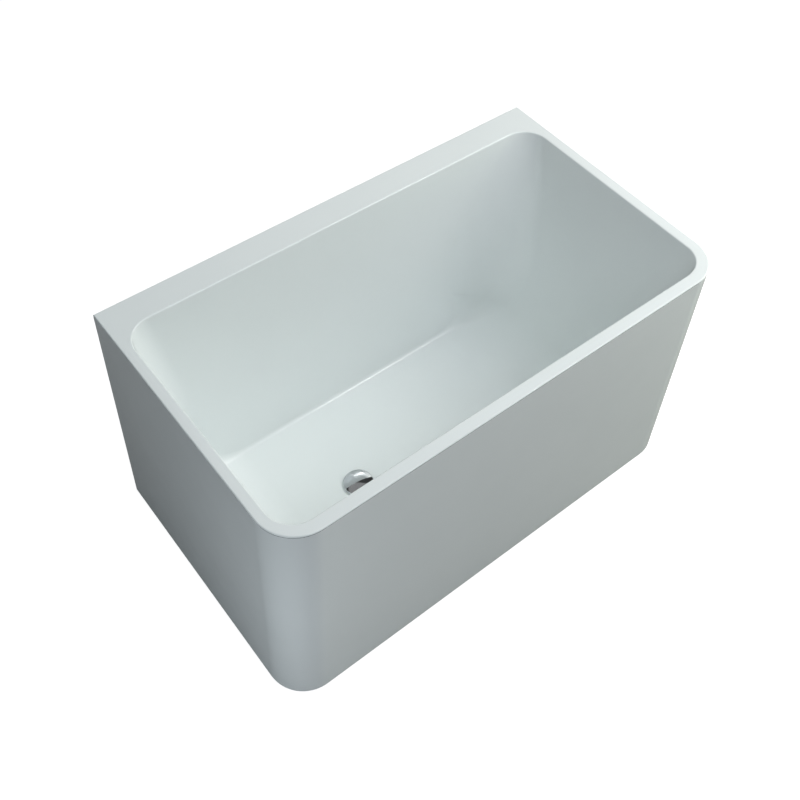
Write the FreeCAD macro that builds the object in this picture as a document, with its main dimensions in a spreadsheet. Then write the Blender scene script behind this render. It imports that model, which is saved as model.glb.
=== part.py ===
import FreeCAD, Part
import Sketcher
import math
import os
import re

# Freestanding soaking tub that stands back to a wall: a moulded acrylic basin with its rim, a wrap-round
# acrylic skirt, a welded steel cradle on five levelling feet, and a pop-up waste.
# Origin: middle of the plan outline, on the floor. +X runs along the tub towards the sloping backrest,
# +Y points at the wall behind it and +Z is up. Lengths are millimetres.

doc = FreeCAD.newDocument("SoakingTub")
sheet = doc.addObject("Spreadsheet::Sheet", "Sizes")

driving_sizes = {
    # whole tub
    "tub_length": 1200,
    "tub_width": 700,
    "tub_height": 675,
    "front_corner_radius": 91,
    "cut_overrun": 1,
    # rim, seen from above
    "left_rim_width": 24.5,
    "right_rim_width": 28.2,
    "front_rim_width": 29.6,
    "back_deck_width": 74.8,
    "opening_corner_radius": 62,
    "outer_edge_radius": 3,
    "inner_edge_radius": 4,
    "back_lip_height": 30,
    "back_lip_end_gap": 0.5,
    # basin
    "shell_wall": 5,
    "laminate_wall": 4,
    "floor_level": 100,
    "left_end_inset": 45.2,
    "backrest_inset": 169.7,
    "side_inset": 46.8,
    "left_foot_radius": 195,
    "backrest_foot_radius": 150,
    "left_low_corner_radius": 80,
    "backrest_low_corner_radius": 115,
    "floor_crease_radius": 12,
    # skirt and the bond under the rim
    "skirt_wall": 5,
    "skirt_floor_gap": 3,
    "skirt_flange_width": 8,
    "skirt_flange_thickness": 4,
    "skirt_return_reach": 25,
    "bond_thickness": 1,
    "bond_recess": 0.4,
    # base board under the basin floor
    "board_thickness": 16,
    "board_end_margin": 30,
    "board_side_margin": 9,
    "board_corner_radius": 60,
    "board_hole_radius": 52,
    # steel cradle
    "tube_side": 30,
    "tube_wall": 2,
    "tube_corner_radius": 3,
    "cross_rail_end_gap": 130,
    "cross_rail_front_gap": 30,
    "cross_rail_back_gap": 25,
    "long_rail_spacing": 355,
    "middle_rail_distance": 60,
    "end_cap_flange": 3,
    "end_cap_depth": 8,
    "end_cap_fit": 0.05,
    "post_side": 25,
    "post_back_gap": 38,
    "post_plate_length": 66,
    "post_plate_thickness": 3,
    "post_screw_spread": 23,
    # timber battens
    "batten_thickness": 18,
    "batten_height": 40,
    "batten_floor_gap": 25,
    "batten_end_gap": 12,
    "deck_batten_depth": 45,
    "deck_batten_wall_gap": 13,
    "deck_batten_end_gap": 60,
    # brackets between cradle and skirt
    "bracket_thickness": 3,
    "bracket_width": 30,
    "bracket_height": 22,
    "bracket_bend_radius": 4,
    "bracket_lap": 25,
    # screws
    "screw_radius": 2.4,
    "screw_head_flats": 8,
    "screw_head_height": 4,
    "screw_length": 14,
    "board_screw_length": 42,
    "board_screw_left_gap": 42,
    "board_screw_right_gap": 84,
    "screw_hole_clearance": 0.1,
    # levelling feet
    "foot_front_gap": 95,
    "foot_back_gap": 70,
    "pad_radius": 25,
    "pad_height": 12,
    "pad_top_radius": 15,
    "pad_rim_height": 4,
    "stud_radius": 6,
    "stud_top_level": 65,
    "stud_chamfer": 1.2,
    "stud_collar_radius": 9,
    "stud_collar_height": 4,
    "stud_collar_level": 4,
    "stud_hex_flats": 14,
    "stud_hex_height": 6,
    "running_fit": 0.05,
    "socket_clearance": 0.3,
    "nut_flats": 19,
    "weld_nut_height": 10,
    "lock_nut_height": 6,
    "lock_nut_gap": 1,
    # pop-up waste
    "drain_distance": 180,
    "waste_hole_radius": 26,
    "tail_radius": 23.9,
    "tail_bore_radius": 20.5,
    "tail_end_level": 40,
    "tail_plain_length": 28,
    "tail_groove_width": 2,
    "tail_groove_depth": 0.7,
    "flange_radius": 35,
    "flange_thickness": 2.5,
    "throat_radius": 24,
    "throat_depth": 3.5,
    "top_gasket_thickness": 1.5,
    "top_gasket_radius": 33,
    "bottom_gasket_thickness": 3,
    "bottom_gasket_radius": 34,
    "slip_washer_thickness": 1.5,
    "back_nut_flats": 62,
    "back_nut_height": 10,
    "ring_clearance": 0.1,
    "nut_thread_clearance": 0.05,
    "spider_level": 50,
    "spider_height": 6,
    "spider_bar_width": 4,
    "spider_hub_radius": 9,
    "cartridge_radius": 9,
    "cartridge_height": 42,
    "cartridge_base": 2,
    "cartridge_neck": 6,
    "spring_chamber_radius": 6.6,
    "stem_radius": 4,
    "piston_radius": 6.3,
    "piston_height": 3,
    "spring_wire_radius": 0.6,
    "spring_coil_radius": 5.4,
    "spring_turns": 5,
    "spring_sections_per_turn": 12,
    "spring_wire_sides": 8,
    "spring_length": 18,
    "cap_radius": 38,
    "cap_wall": 1.6,
    "cap_floor_gap": 1.2,
    "cap_side_height": 4.6,
    "cap_crown": 3.6,
    "cap_edge_radius": 2.2,
    "cap_dome_radius": 90,
    "cap_hub_radius": 9,
    "seal_inner_radius": 21,
    "seal_outer_radius": 29,
    "seal_thickness": 2,
}

# Places that follow from the driving sizes.
derived_sizes = {
    "half_length": "tub_length / 2",
    "half_width": "tub_width / 2",
    "cross_rail_reach": "half_length - cross_rail_end_gap",
    "deck_batten_reach": "half_length - deck_batten_end_gap",
    "deck_underside": "tub_height - shell_wall",
    "skirt_top": "deck_underside - bond_thickness",
    "basin_depth": "tub_height - floor_level",
    "left_slope": "left_end_inset / basin_depth",
    "right_slope": "backrest_inset / basin_depth",
    "side_slope": "side_inset / basin_depth",
    "left_stretch": "sqrt(1 + left_slope ^ 2)",
    "right_stretch": "sqrt(1 + right_slope ^ 2)",
    "side_stretch": "sqrt(1 + side_slope ^ 2)",
    "opening_left": "left_rim_width - half_length",
    "opening_right": "half_length - right_rim_width",
    "opening_front": "front_rim_width - half_width",
    "opening_back": "half_width - back_deck_width",
    "basin_middle": "(opening_front + opening_back) / 2",
    "floor_left": "opening_left + left_end_inset + left_foot_radius * (left_stretch - left_slope)",
    "floor_right": "opening_right - backrest_inset - backrest_foot_radius * (right_stretch - right_slope)",
    "floor_front": "opening_front + side_inset",
    "floor_back": "opening_back - side_inset",
    "board_top": "floor_level - shell_wall - laminate_wall",
    "rail_top": "board_top - board_thickness",
    "rail_middle": "rail_top - tube_side / 2",
    "rail_bottom": "rail_top - tube_side",
    "front_rail_place": "basin_middle - long_rail_spacing / 2",
    "back_rail_place": "basin_middle + long_rail_spacing / 2",
    "cross_rail_front": "skirt_wall + cross_rail_front_gap - half_width",
    "cross_rail_back": "half_width - cross_rail_back_gap",
    "tube_bore": "tube_side - 2 * tube_wall",
    "post_place": "half_width - post_back_gap",
    "deck_batten_bottom": "deck_underside - batten_thickness",
    "bracket_top": "rail_bottom",
    "foot_front": "foot_front_gap - half_width",
    "foot_back": "half_width - foot_back_gap",
    "weld_nut_bottom": "rail_bottom - weld_nut_height",
    "lock_nut_bottom": "weld_nut_bottom - lock_nut_gap - lock_nut_height",
    "flange_bottom": "floor_level + top_gasket_thickness",
    "flange_top": "flange_bottom + flange_thickness",
    "tail_groove_bottom": "tail_end_level + tail_plain_length",
    "tail_groove_top": "tail_groove_bottom + tail_groove_width",
    "slip_washer_top": "board_top - bottom_gasket_thickness",
    "back_nut_top": "slip_washer_top - slip_washer_thickness",
    "cartridge_bottom": "spider_level + spider_height",
    "cartridge_top": "cartridge_bottom + cartridge_height",
    "spring_bottom": "cartridge_bottom + cartridge_base",
    "piston_bottom": "spring_bottom + spring_length + socket_clearance",
    "cap_bottom": "floor_level + cap_floor_gap",
    "cap_shoulder": "cap_bottom + cap_side_height",
    "cap_top": "cap_shoulder + cap_crown",
    "seal_top": "flange_top + seal_thickness",
}


def in_sheet(text):
    """Writes the sheet's name before every size in an expression."""
    known = driving_sizes.keys() | derived_sizes.keys()
    return re.sub(r"[a-z_]+", lambda word: "Sizes." * (word.group() in known) + word.group(), text)


for row, (alias, value) in enumerate((driving_sizes | derived_sizes).items(), 1):
    sheet.set("A%d" % row, alias)
    sheet.set("B%d" % row, "=" + value if isinstance(value, str) else str(value))
    sheet.setAlias("B%d" % row, alias)
doc.recompute()


def number(text):
    """Value of an expression in sheet sizes."""
    return float(sheet.evalExpression(in_sheet(text)))


def bind(target, **expressions):
    """Ties properties of an object to the sheet; two underscores stand for a dot."""
    for name, text in expressions.items():
        target.setExpression(name.replace("__", "."), in_sheet(text))


def place(target, x="0", y="0", z="0"):
    bind(target, Placement__Base__x=x, Placement__Base__y=y, Placement__Base__z=z)


def new_body(label):
    body = doc.addObject("PartDesign::Body", label)
    body.Label = label
    return body


def new_sketch(body, role, offset="0"):
    """Empty sketch on one of the body's own origin planes, moved along its normal."""
    plane = next(plane for plane in body.Origin.OriginFeatures if plane.Role == role)
    sketch = body.newObject("Sketcher::SketchObject", body.Label + "_sketch")
    sketch.AttachmentSupport = [(plane, "")]
    sketch.MapMode = "FlatFace"
    bind(sketch, AttachmentOffset__Base__z=offset)
    return sketch


def pin_point(sketch, shape, end, across, up):
    """Holds a point of the sketch at a place given by two expressions."""
    for kind, text in (("DistanceX", across), ("DistanceY", up)):
        index = sketch.addConstraint(Sketcher.Constraint(kind, -1, 1, shape, end, number(text)))
        sketch.setExpression("Constraints[%d]" % index, in_sheet(text))


def outline(sketch, corners):
    """Closed outline of straight lines; a corner is (across, up) or (across, up, radius of its round)."""
    marks = [FreeCAD.Vector(number(corner[0]), number(corner[1]), 0) for corner in corners]
    count = len(corners)
    arc_ends = {}
    for index, corner in enumerate(corners):
        arc_ends[index] = (marks[index], marks[index])
        if len(corner) == 3:
            back = (marks[index - 1] - marks[index]).normalize()
            ahead = (marks[(index + 1) % count] - marks[index]).normalize()
            trim = number(corner[2]) / math.tan(back.getAngle(ahead) / 2)
            arc_ends[index] = (marks[index] + back * trim, marks[index] + ahead * trim)
    lines = []
    for index in range(count):
        line = Part.LineSegment(arc_ends[index][1], arc_ends[(index + 1) % count][0])
        lines.append(sketch.addGeometry(line, False))
    for index, corner in enumerate(corners):
        before, after = lines[index - 1], lines[index]
        if len(corner) == 2:
            sketch.addConstraint(Sketcher.Constraint("Coincident", before, 2, after, 1))
            pin_point(sketch, after, 1, corner[0], corner[1])
            continue
        start, finish = arc_ends[index]
        radius = number(corner[2])
        inward = ((start + finish) / 2 - marks[index]).normalize()
        reach = math.hypot(radius, (start - marks[index]).Length) - radius
        arc = sketch.addGeometry(Part.Arc(start, marks[index] + inward * reach, finish), False)
        first = 1 if sketch.getPoint(arc, 1).distanceToPoint(start) < radius / 1000 else 2
        mark = sketch.addGeometry(Part.Point(marks[index]), True)
        sketch.addConstraint(Sketcher.Constraint("Tangent", before, 2, arc, first))
        sketch.addConstraint(Sketcher.Constraint("Tangent", arc, 3 - first, after, 1))
        sketch.addConstraint(Sketcher.Constraint("PointOnObject", mark, 1, before))
        sketch.addConstraint(Sketcher.Constraint("PointOnObject", mark, 1, after))
        size = sketch.addConstraint(Sketcher.Constraint("Radius", arc, radius))
        sketch.setExpression("Constraints[%d]" % size, in_sheet(corner[2]))
        pin_point(sketch, mark, 1, corner[0], corner[1])


def circle(sketch, radius, across="0", up="0"):
    centre = FreeCAD.Vector(number(across), number(up), 0)
    ring = sketch.addGeometry(Part.Circle(centre, FreeCAD.Vector(0, 0, 1), number(radius)), False)
    size = sketch.addConstraint(Sketcher.Constraint("Radius", ring, number(radius)))
    sketch.setExpression("Constraints[%d]" % size, in_sheet(radius))
    pin_point(sketch, ring, 3, across, up)


def rectangle(sketch, left, right, low, high, radius=None):
    corners = [(left, low), (right, low), (right, high), (left, high)]
    outline(sketch, [corner + (radius,) for corner in corners] if radius else corners)


def hexagon(sketch, flats):
    tip = "%s / sqrt(3)" % flats
    half_tip = "%s / sqrt(12)" % flats
    side = "%s / 2" % flats
    outline(sketch, [(tip, "0"), (half_tip, side), ("-" + half_tip, side),
                     ("-" + tip, "0"), ("-" + half_tip, "-" + side), (half_tip, "-" + side)])


def pad(body, sketch, length, midplane=False, downward=False):
    feature = body.newObject("PartDesign::Pad", body.Label + "_pad")
    feature.Profile = sketch
    feature.Midplane = midplane
    feature.Reversed = downward
    bind(feature, Length=length)
    doc.recompute()
    return feature


def pocket(body, sketch, depth=None, midplane=False, upward=False):
    """Cuts a sketch through everything, or to a depth, and stops if it takes nothing away."""
    before = body.Shape.Volume
    feature = body.newObject("PartDesign::Pocket", body.Label + "_pocket")
    feature.Profile = sketch
    feature.Midplane = midplane
    feature.Reversed = upward
    if depth:
        bind(feature, Length=depth)
    else:
        feature.Type = "ThroughAll"
    doc.recompute()
    if body.Shape.Volume >= before:
        raise RuntimeError(body.Label + ": a pocket cuts nothing")
    return feature


def turned(label, *profiles):
    """Body turned about its own Z axis from closed profiles of (radius, height) corners."""
    body = new_body(label)
    sketch = new_sketch(body, "XZ_Plane")
    for profile in profiles:
        outline(sketch, profile)
    feature = body.newObject("PartDesign::Revolution", label + "_turned")
    feature.Profile = sketch
    feature.ReferenceAxis = (sketch, ["V_Axis"])
    feature.Angle = 360
    doc.recompute()
    return body


def round_edges(body, radius, chosen):
    """Rounds the edges of a body that a test picks."""
    base = body.Tip
    feature = body.newObject("PartDesign::Fillet", body.Label + "_round")
    names = ["Edge%d" % index for index, edge in enumerate(base.Shape.Edges, 1) if chosen(edge)]
    feature.Base = (base, names)
    bind(feature, Radius=radius)
    doc.recompute()
    return feature


def boolean(kind, label, base, tool):
    feature = doc.addObject("Part::" + kind, label)
    feature.Base = base
    feature.Tool = tool
    feature.Label = label
    doc.recompute()
    return feature


def basin_form(label, growth, top):
    """The basin's hollow as a solid, grown outwards by a wall and closed at a level.

    The long section has a level floor between two large foot radii; the cross section has drafted
    sides. Its four corners are one smooth round each, wide at the foot of the end walls, tighter at the
    rim, and running out into the small crease along the floor.
    """
    body = new_body(label)
    bottom = "floor_level - (%s)" % growth

    def left(level):
        return "opening_left + left_slope * (tub_height - (%s)) - left_stretch * (%s)" % (level, growth)

    def right(level):
        return "opening_right - right_slope * (tub_height - (%s)) + right_stretch * (%s)" % (level, growth)

    def front(level):
        return "opening_front + side_slope * (tub_height - (%s)) - side_stretch * (%s)" % (level, growth)

    def back(level):
        return "opening_back - side_slope * (tub_height - (%s)) + side_stretch * (%s)" % (level, growth)

    long_section = new_sketch(body, "XZ_Plane")
    outline(long_section, [
        (left(top), top),
        (left(bottom), bottom, "left_foot_radius + (%s)" % growth),
        (right(bottom), bottom, "backrest_foot_radius + (%s)" % growth),
        (right(top), top),
    ])
    pad(body, long_section, "tub_width", midplane=True)
    cross_section = new_sketch(body, "YZ_Plane")
    clear_top = "tub_height + 2 * cut_overrun"
    rectangle(cross_section, "-tub_width", "tub_width", "-cut_overrun", "tub_height + 3 * cut_overrun")
    outline(cross_section, [(front("0"), "0"), (back("0"), "0"), (back(clear_top), clear_top),
                            (front(clear_top), clear_top)])
    pocket(body, cross_section, midplane=True)

    top_level, bottom_level, wall = number(top), number(bottom), number(growth)
    rim_radius = number("opening_corner_radius")
    tiny = number("cut_overrun") / 1000

    def corner_radius(spot, low_level):
        low_radius = number("left_low_corner_radius" if spot.x < 0 else "backrest_low_corner_radius")
        if spot.z > top_level - tiny:
            rise = (number("tub_height") - spot.z) / (number("tub_height") - low_level)
            return rim_radius + (low_radius - rim_radius) * rise + wall
        if spot.z < bottom_level + tiny:
            return number("floor_crease_radius") + wall
        return low_radius + wall

    corner_edges = []
    for face in body.Shape.Faces:
        if abs(face.normalAt(0, 0).y) > math.cos(math.radians(30)):
            corner_edges += [edge for edge in face.Edges if edge.BoundBox.ZMin < top_level - tiny]
    radii = []
    for index, edge in enumerate(body.Shape.Edges, 1):
        if any(edge.isSame(corner) for corner in corner_edges):
            ends = [vertex.Point for vertex in edge.Vertexes]
            low_level = min(end.z for end in ends)
            radii.append((index,) + tuple(corner_radius(end, low_level) for end in ends))
    form = doc.addObject("Part::Fillet", label + "_form")
    form.Base = body
    form.Edges = radii
    doc.recompute()
    return form


def drilled(label, base, radius, top, depth):
    """A part of the basin with the waste hole through its floor."""
    drill = doc.addObject("Part::Cylinder", label + "_drill")
    bind(drill, Radius=radius, Height=depth)
    place(drill, "-drain_distance", "basin_middle", "(%s) - (%s)" % (top, depth))
    return boolean("Cut", label, base, drill)


def make_inner_shell():
    """Basin and rim in one moulding, with the lip that turns down along the wall side."""
    deck = new_body("rim_deck")
    sketch = new_sketch(deck, "XY_Plane", "deck_underside")
    outline(sketch, [
        ("-half_length", "-half_width", "front_corner_radius"),
        ("half_length", "-half_width", "front_corner_radius"),
        ("half_length", "half_width"),
        ("-half_length", "half_width"),
    ])
    pad(deck, sketch, "shell_wall")
    lip = new_sketch(deck, "XY_Plane", "deck_underside - back_lip_height")
    lip_end = "half_length - skirt_return_reach - back_lip_end_gap"
    rectangle(lip, "-(%s)" % lip_end, lip_end, "half_width - shell_wall", "half_width")
    pad(deck, lip, "back_lip_height + shell_wall / 2")
    height = number("tub_height")
    tiny = number("cut_overrun") / 1000
    round_edges(deck, "outer_edge_radius", lambda edge: edge.BoundBox.ZMin > height - tiny)
    plug = basin_form("basin_outside", "shell_wall", "tub_height - shell_wall / 2")
    hollow = basin_form("basin_hollow", "0", "tub_height + cut_overrun")
    moulding = boolean("Cut", "basin_and_rim", boolean("Fuse", "rim_and_plug", deck, plug), hollow)
    mouth = [edge.BoundBox for edge in moulding.Shape.Edges]
    rim_line = [
        index for index, box in enumerate(mouth, 1)
        if box.ZMin > height - tiny and box.XMin > number("opening_left") - tiny
        and box.XMax < number("opening_right") + tiny and box.YMin > number("opening_front") - tiny
        and box.YMax < number("opening_back") + tiny
    ]
    rounded = doc.addObject("Part::Fillet", "rounded_mouth")
    rounded.Base = moulding
    rounded.Edges = [(index, number("inner_edge_radius"), number("inner_edge_radius")) for index in rim_line]
    doc.recompute()
    return drilled("inner_shell", rounded, "waste_hole_radius", "floor_level + cut_overrun",
                   "shell_wall + 2 * cut_overrun")


def make_basin_laminate():
    """Glass-fibre layer sprayed on the outside of the basin, from its floor up to the rim."""
    outside = basin_form("laminate_outside", "shell_wall + laminate_wall", "deck_underside")
    inside = basin_form("laminate_inside", "shell_wall", "tub_height - shell_wall / 2")
    layer = boolean("Cut", "laminate_layer", outside, inside)
    return drilled("basin_laminate", layer, "waste_hole_radius", "floor_level",
                   "shell_wall + laminate_wall + cut_overrun")


def wrap_outline(sketch, outer_inset, inner_inset):
    """Plan of the skirt: front and two ends in one, with short returns along the wall side."""
    outer_x, outer_y = "(half_length - %s)" % outer_inset, "(half_width - %s)" % outer_inset
    inner_x, inner_y = "(half_length - (%s))" % inner_inset, "(half_width - (%s))" % inner_inset
    return_end, return_face = "(half_length - skirt_return_reach)", "(half_width - skirt_wall)"
    outer_radius = "front_corner_radius - %s" % outer_inset
    inner_radius = "front_corner_radius - (%s)" % inner_inset
    outline(sketch, [
        ("-" + outer_x, outer_y),
        ("-" + outer_x, "-" + outer_y, outer_radius),
        (outer_x, "-" + outer_y, outer_radius),
        (outer_x, outer_y),
        (return_end, outer_y),
        (return_end, return_face),
        (inner_x, return_face),
        (inner_x, "-" + inner_y, inner_radius),
        ("-" + inner_x, "-" + inner_y, inner_radius),
        ("-" + inner_x, return_face),
        ("-" + return_end, return_face),
        ("-" + return_end, outer_y),
    ])


def make_outer_skirt():
    body = new_body("outer_skirt")
    wall = new_sketch(body, "XY_Plane", "skirt_floor_gap")
    wrap_outline(wall, "0", "skirt_wall")
    pad(body, wall, "skirt_top - skirt_floor_gap")
    flange = new_sketch(body, "XY_Plane", "skirt_top - skirt_flange_thickness")
    wrap_outline(flange, "0", "skirt_wall + skirt_flange_width")
    pad(body, flange, "skirt_flange_thickness")
    return body


def make_rim_bond():
    """Line of adhesive that joins the skirt to the underside of the rim."""
    body = new_body("rim_bond")
    sketch = new_sketch(body, "XY_Plane", "skirt_top")
    wrap_outline(sketch, "bond_recess", "skirt_wall + skirt_flange_width")
    pad(body, sketch, "bond_thickness")
    return body


def make_base_board():
    body = new_body("base_board")
    sketch = new_sketch(body, "XY_Plane", "rail_top")
    rectangle(sketch, "floor_left - board_end_margin", "floor_right + board_end_margin",
              "floor_front + board_side_margin", "floor_back - board_side_margin", "board_corner_radius")
    circle(sketch, "board_hole_radius", "-drain_distance", "basin_middle")
    pad(body, sketch, "board_thickness")
    holes = new_sketch(body, "XY_Plane", "rail_top")
    for x, y in board_screw_places:
        circle(holes, "screw_radius + screw_hole_clearance", x, y)
    pocket(body, holes, "board_screw_length - tube_side + cut_overrun", upward=True)
    return body


def square_tube(label, role, side, length):
    """Square steel tube about its own origin, along the normal of a plane."""
    body = new_body(label)
    sketch = new_sketch(body, role)
    half = "%s / 2" % side
    bore = "(%s / 2 - tube_wall)" % side
    rectangle(sketch, "-" + half, half, "-" + half, half, "tube_corner_radius")
    rectangle(sketch, "-" + bore, bore, "-" + bore, bore)
    pad(body, sketch, length, midplane=True)
    return body


def drill_walls(body, places, radius, upward=False):
    """Round holes through one wall of a tube, below or above its middle."""
    sketch = new_sketch(body, "XY_Plane")
    for across, along in places:
        circle(sketch, radius, across, along)
    pocket(body, sketch, upward=upward)


def make_long_rail(label, y, side):
    length = "2 * cross_rail_reach - tube_side"
    body = square_tube(label, "YZ_Plane", "tube_side", length)
    screw_hole = "screw_radius + screw_hole_clearance"
    board_holes = [(x, "0") for x, rail in board_screw_places if rail == y]
    bracket_hole = [("middle_rail_distance", "bracket_lap / 2 - tube_side / 2")] if side == "front" else []
    drill_walls(body, board_holes + bracket_hole, screw_hole)
    drill_walls(body, board_holes, screw_hole, upward=True)
    place(body, "0", y, "rail_middle")
    return body


def make_cross_rail(label, side):
    """End rail across the tub; side is -1 at the left and 1 at the right."""
    sign = "-" if side < 0 else ""
    middle = "(cross_rail_front + cross_rail_back) / 2"
    body = square_tube(label, "XZ_Plane", "tube_side", "cross_rail_back - cross_rail_front")
    drill_walls(body, [("0", "foot_front - " + middle), ("0", "foot_back - " + middle)],
                "stud_radius + socket_clearance")
    edge = "%s(tube_side / 2 - bracket_lap / 2)" % sign
    drill_walls(body, [(edge, "basin_middle - " + middle),
                       ("0", "cross_rail_front + bracket_lap / 2 - " + middle)],
                "screw_radius + screw_hole_clearance")
    place(body, sign + "cross_rail_reach", middle, "rail_middle")
    return body


def make_middle_rail():
    body = square_tube("middle_cross_rail", "XZ_Plane", "tube_side", "long_rail_spacing - tube_side")
    drill_walls(body, [("0", "0")], "stud_radius + socket_clearance")
    place(body, "middle_rail_distance", "basin_middle", "rail_middle")
    return body


def make_end_cap(label, x, y, outward):
    """Plastic insert that closes an open tube end; outward is -1 at the front and 1 at the back."""
    body = new_body(label)
    flange = new_sketch(body, "XZ_Plane")
    half = "tube_side / 2"
    rectangle(flange, "-" + half, half, "-" + half, half, "tube_corner_radius")
    pad(body, flange, "end_cap_flange", downward=outward > 0)
    stem = new_sketch(body, "XZ_Plane")
    bore = "(tube_bore / 2 - end_cap_fit)"
    rectangle(stem, "-" + bore, bore, "-" + bore, bore)
    pad(body, stem, "end_cap_depth", downward=outward < 0)
    place(body, x, y, "rail_middle")
    return body


def make_post(label, x):
    """Upright tube from the cradle to the deck batten, with the plate welded on its top."""
    height = "deck_batten_bottom - post_plate_thickness - rail_top"
    body = new_body(label)
    section = new_sketch(body, "XY_Plane")
    half, bore = "post_side / 2", "(post_side / 2 - tube_wall)"
    rectangle(section, "-" + half, half, "-" + half, half, "tube_corner_radius")
    rectangle(section, "-" + bore, bore, "-" + bore, bore)
    pad(body, section, height)
    plate = new_sketch(body, "XY_Plane", height)
    rectangle(plate, "-post_plate_length / 2", "post_plate_length / 2", "-" + half, half,
              "tube_corner_radius")
    for spread in ("-post_screw_spread", "post_screw_spread"):
        circle(plate, "screw_radius + screw_hole_clearance", spread)
    pad(body, plate, "post_plate_thickness")
    place(body, x, "post_place", "rail_top")
    return body


def make_deck_batten():
    """Plywood strip bonded under the wide rim on the wall side."""
    body = new_body("deck_batten")
    sketch = new_sketch(body, "XY_Plane", "deck_batten_bottom")
    back = "half_width - deck_batten_wall_gap"
    rectangle(sketch, "-deck_batten_reach", "deck_batten_reach", "%s - deck_batten_depth" % back, back)
    pad(body, sketch, "batten_thickness")
    holes = new_sketch(body, "XY_Plane", "deck_batten_bottom")
    for x, y in post_screw_places:
        circle(holes, "screw_radius + screw_hole_clearance", x, y)
    pocket(body, holes, "screw_length - post_plate_thickness + cut_overrun", upward=True)
    return body


def make_skirt_batten(label, along, start, finish, bracket_places):
    """Plywood strip laminated inside the skirt near the floor; along is front, left or right."""
    body = new_body(label)
    sketch = new_sketch(body, "XY_Plane", "batten_floor_gap")
    face = "skirt_wall - half_width" if along == "front" else "half_length - skirt_wall"
    if along == "front":
        rectangle(sketch, start, finish, face, face + " + batten_thickness")
    elif along == "right":
        rectangle(sketch, face + " - batten_thickness", face, start, finish)
    else:
        rectangle(sketch, "-(%s)" % face, "-(%s) + batten_thickness" % face, start, finish)
    pad(body, sketch, "batten_height")
    bore_face = {
        "front": ("XZ_Plane", "-(skirt_wall - half_width + batten_thickness)", True),
        "left": ("YZ_Plane", "skirt_wall - half_length + batten_thickness", False),
        "right": ("YZ_Plane", "half_length - skirt_wall - batten_thickness", True),
    }
    role, offset, onward = bore_face[along]
    holes = new_sketch(body, role, offset)
    for mark in bracket_places:
        circle(holes, "screw_radius + screw_hole_clearance", mark, bracket_screw_level)
    pocket(body, holes, "screw_length - bracket_thickness + cut_overrun", upward=onward)
    return body


def make_bracket(label, x, y, turn, reach):
    """Galvanised angle from under a rail to a skirt batten; turn is its heading about the upright."""
    body = new_body(label)
    side = new_sketch(body, "XZ_Plane")
    outline(side, [
        ("-bracket_lap", "0"),
        (reach, "0", "bracket_bend_radius"),
        (reach, "bracket_height"),
        ("%s - bracket_thickness" % reach, "bracket_height"),
        ("%s - bracket_thickness" % reach, "bracket_thickness", "bracket_bend_radius - bracket_thickness"),
        ("-bracket_lap", "bracket_thickness"),
    ])
    pad(body, side, "bracket_width", midplane=True)
    rail_hole = new_sketch(body, "XY_Plane", "bracket_thickness")
    circle(rail_hole, "screw_radius + screw_hole_clearance", "-bracket_lap / 2")
    pocket(body, rail_hole, "bracket_thickness + cut_overrun")
    batten_hole = new_sketch(body, "YZ_Plane", reach)
    circle(batten_hole, "screw_radius + screw_hole_clearance", "0",
           "%s - (bracket_top - bracket_thickness)" % bracket_screw_level)
    pocket(body, batten_hole, "bracket_thickness + cut_overrun")
    place(body, x, y, "bracket_top - bracket_thickness")
    body.Placement.Rotation = FreeCAD.Rotation(FreeCAD.Vector(0, 0, 1), turn)
    return body


def make_screws(label, places, length):
    """Hex-head screws as separate solids; a place is the point under the head and the way it points."""
    group = doc.addObject("Part::Feature", label)
    group.Label = label
    head_radius = number("screw_head_flats / sqrt(3)")
    head_height = number("screw_head_height")
    solids = []
    for spot, way in places:
        base = FreeCAD.Vector(*[number(text) for text in spot])
        way = FreeCAD.Vector(*way)
        shank = Part.makeCylinder(number("screw_radius"), number(length), FreeCAD.Vector(0, 0, 0))
        corners = [FreeCAD.Vector(head_radius * math.cos(math.radians(60 * turn)),
                                  head_radius * math.sin(math.radians(60 * turn)), -head_height)
                   for turn in range(7)]
        head = Part.Face(Part.makePolygon(corners)).extrude(FreeCAD.Vector(0, 0, head_height))
        screw = shank.fuse(head).removeSplitter()
        screw.Placement = FreeCAD.Placement(base, FreeCAD.Rotation(FreeCAD.Vector(0, 0, 1), way))
        solids += screw.Solids
    group.Shape = Part.makeCompound(solids)
    group.Placement = FreeCAD.Placement()
    return group


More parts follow.
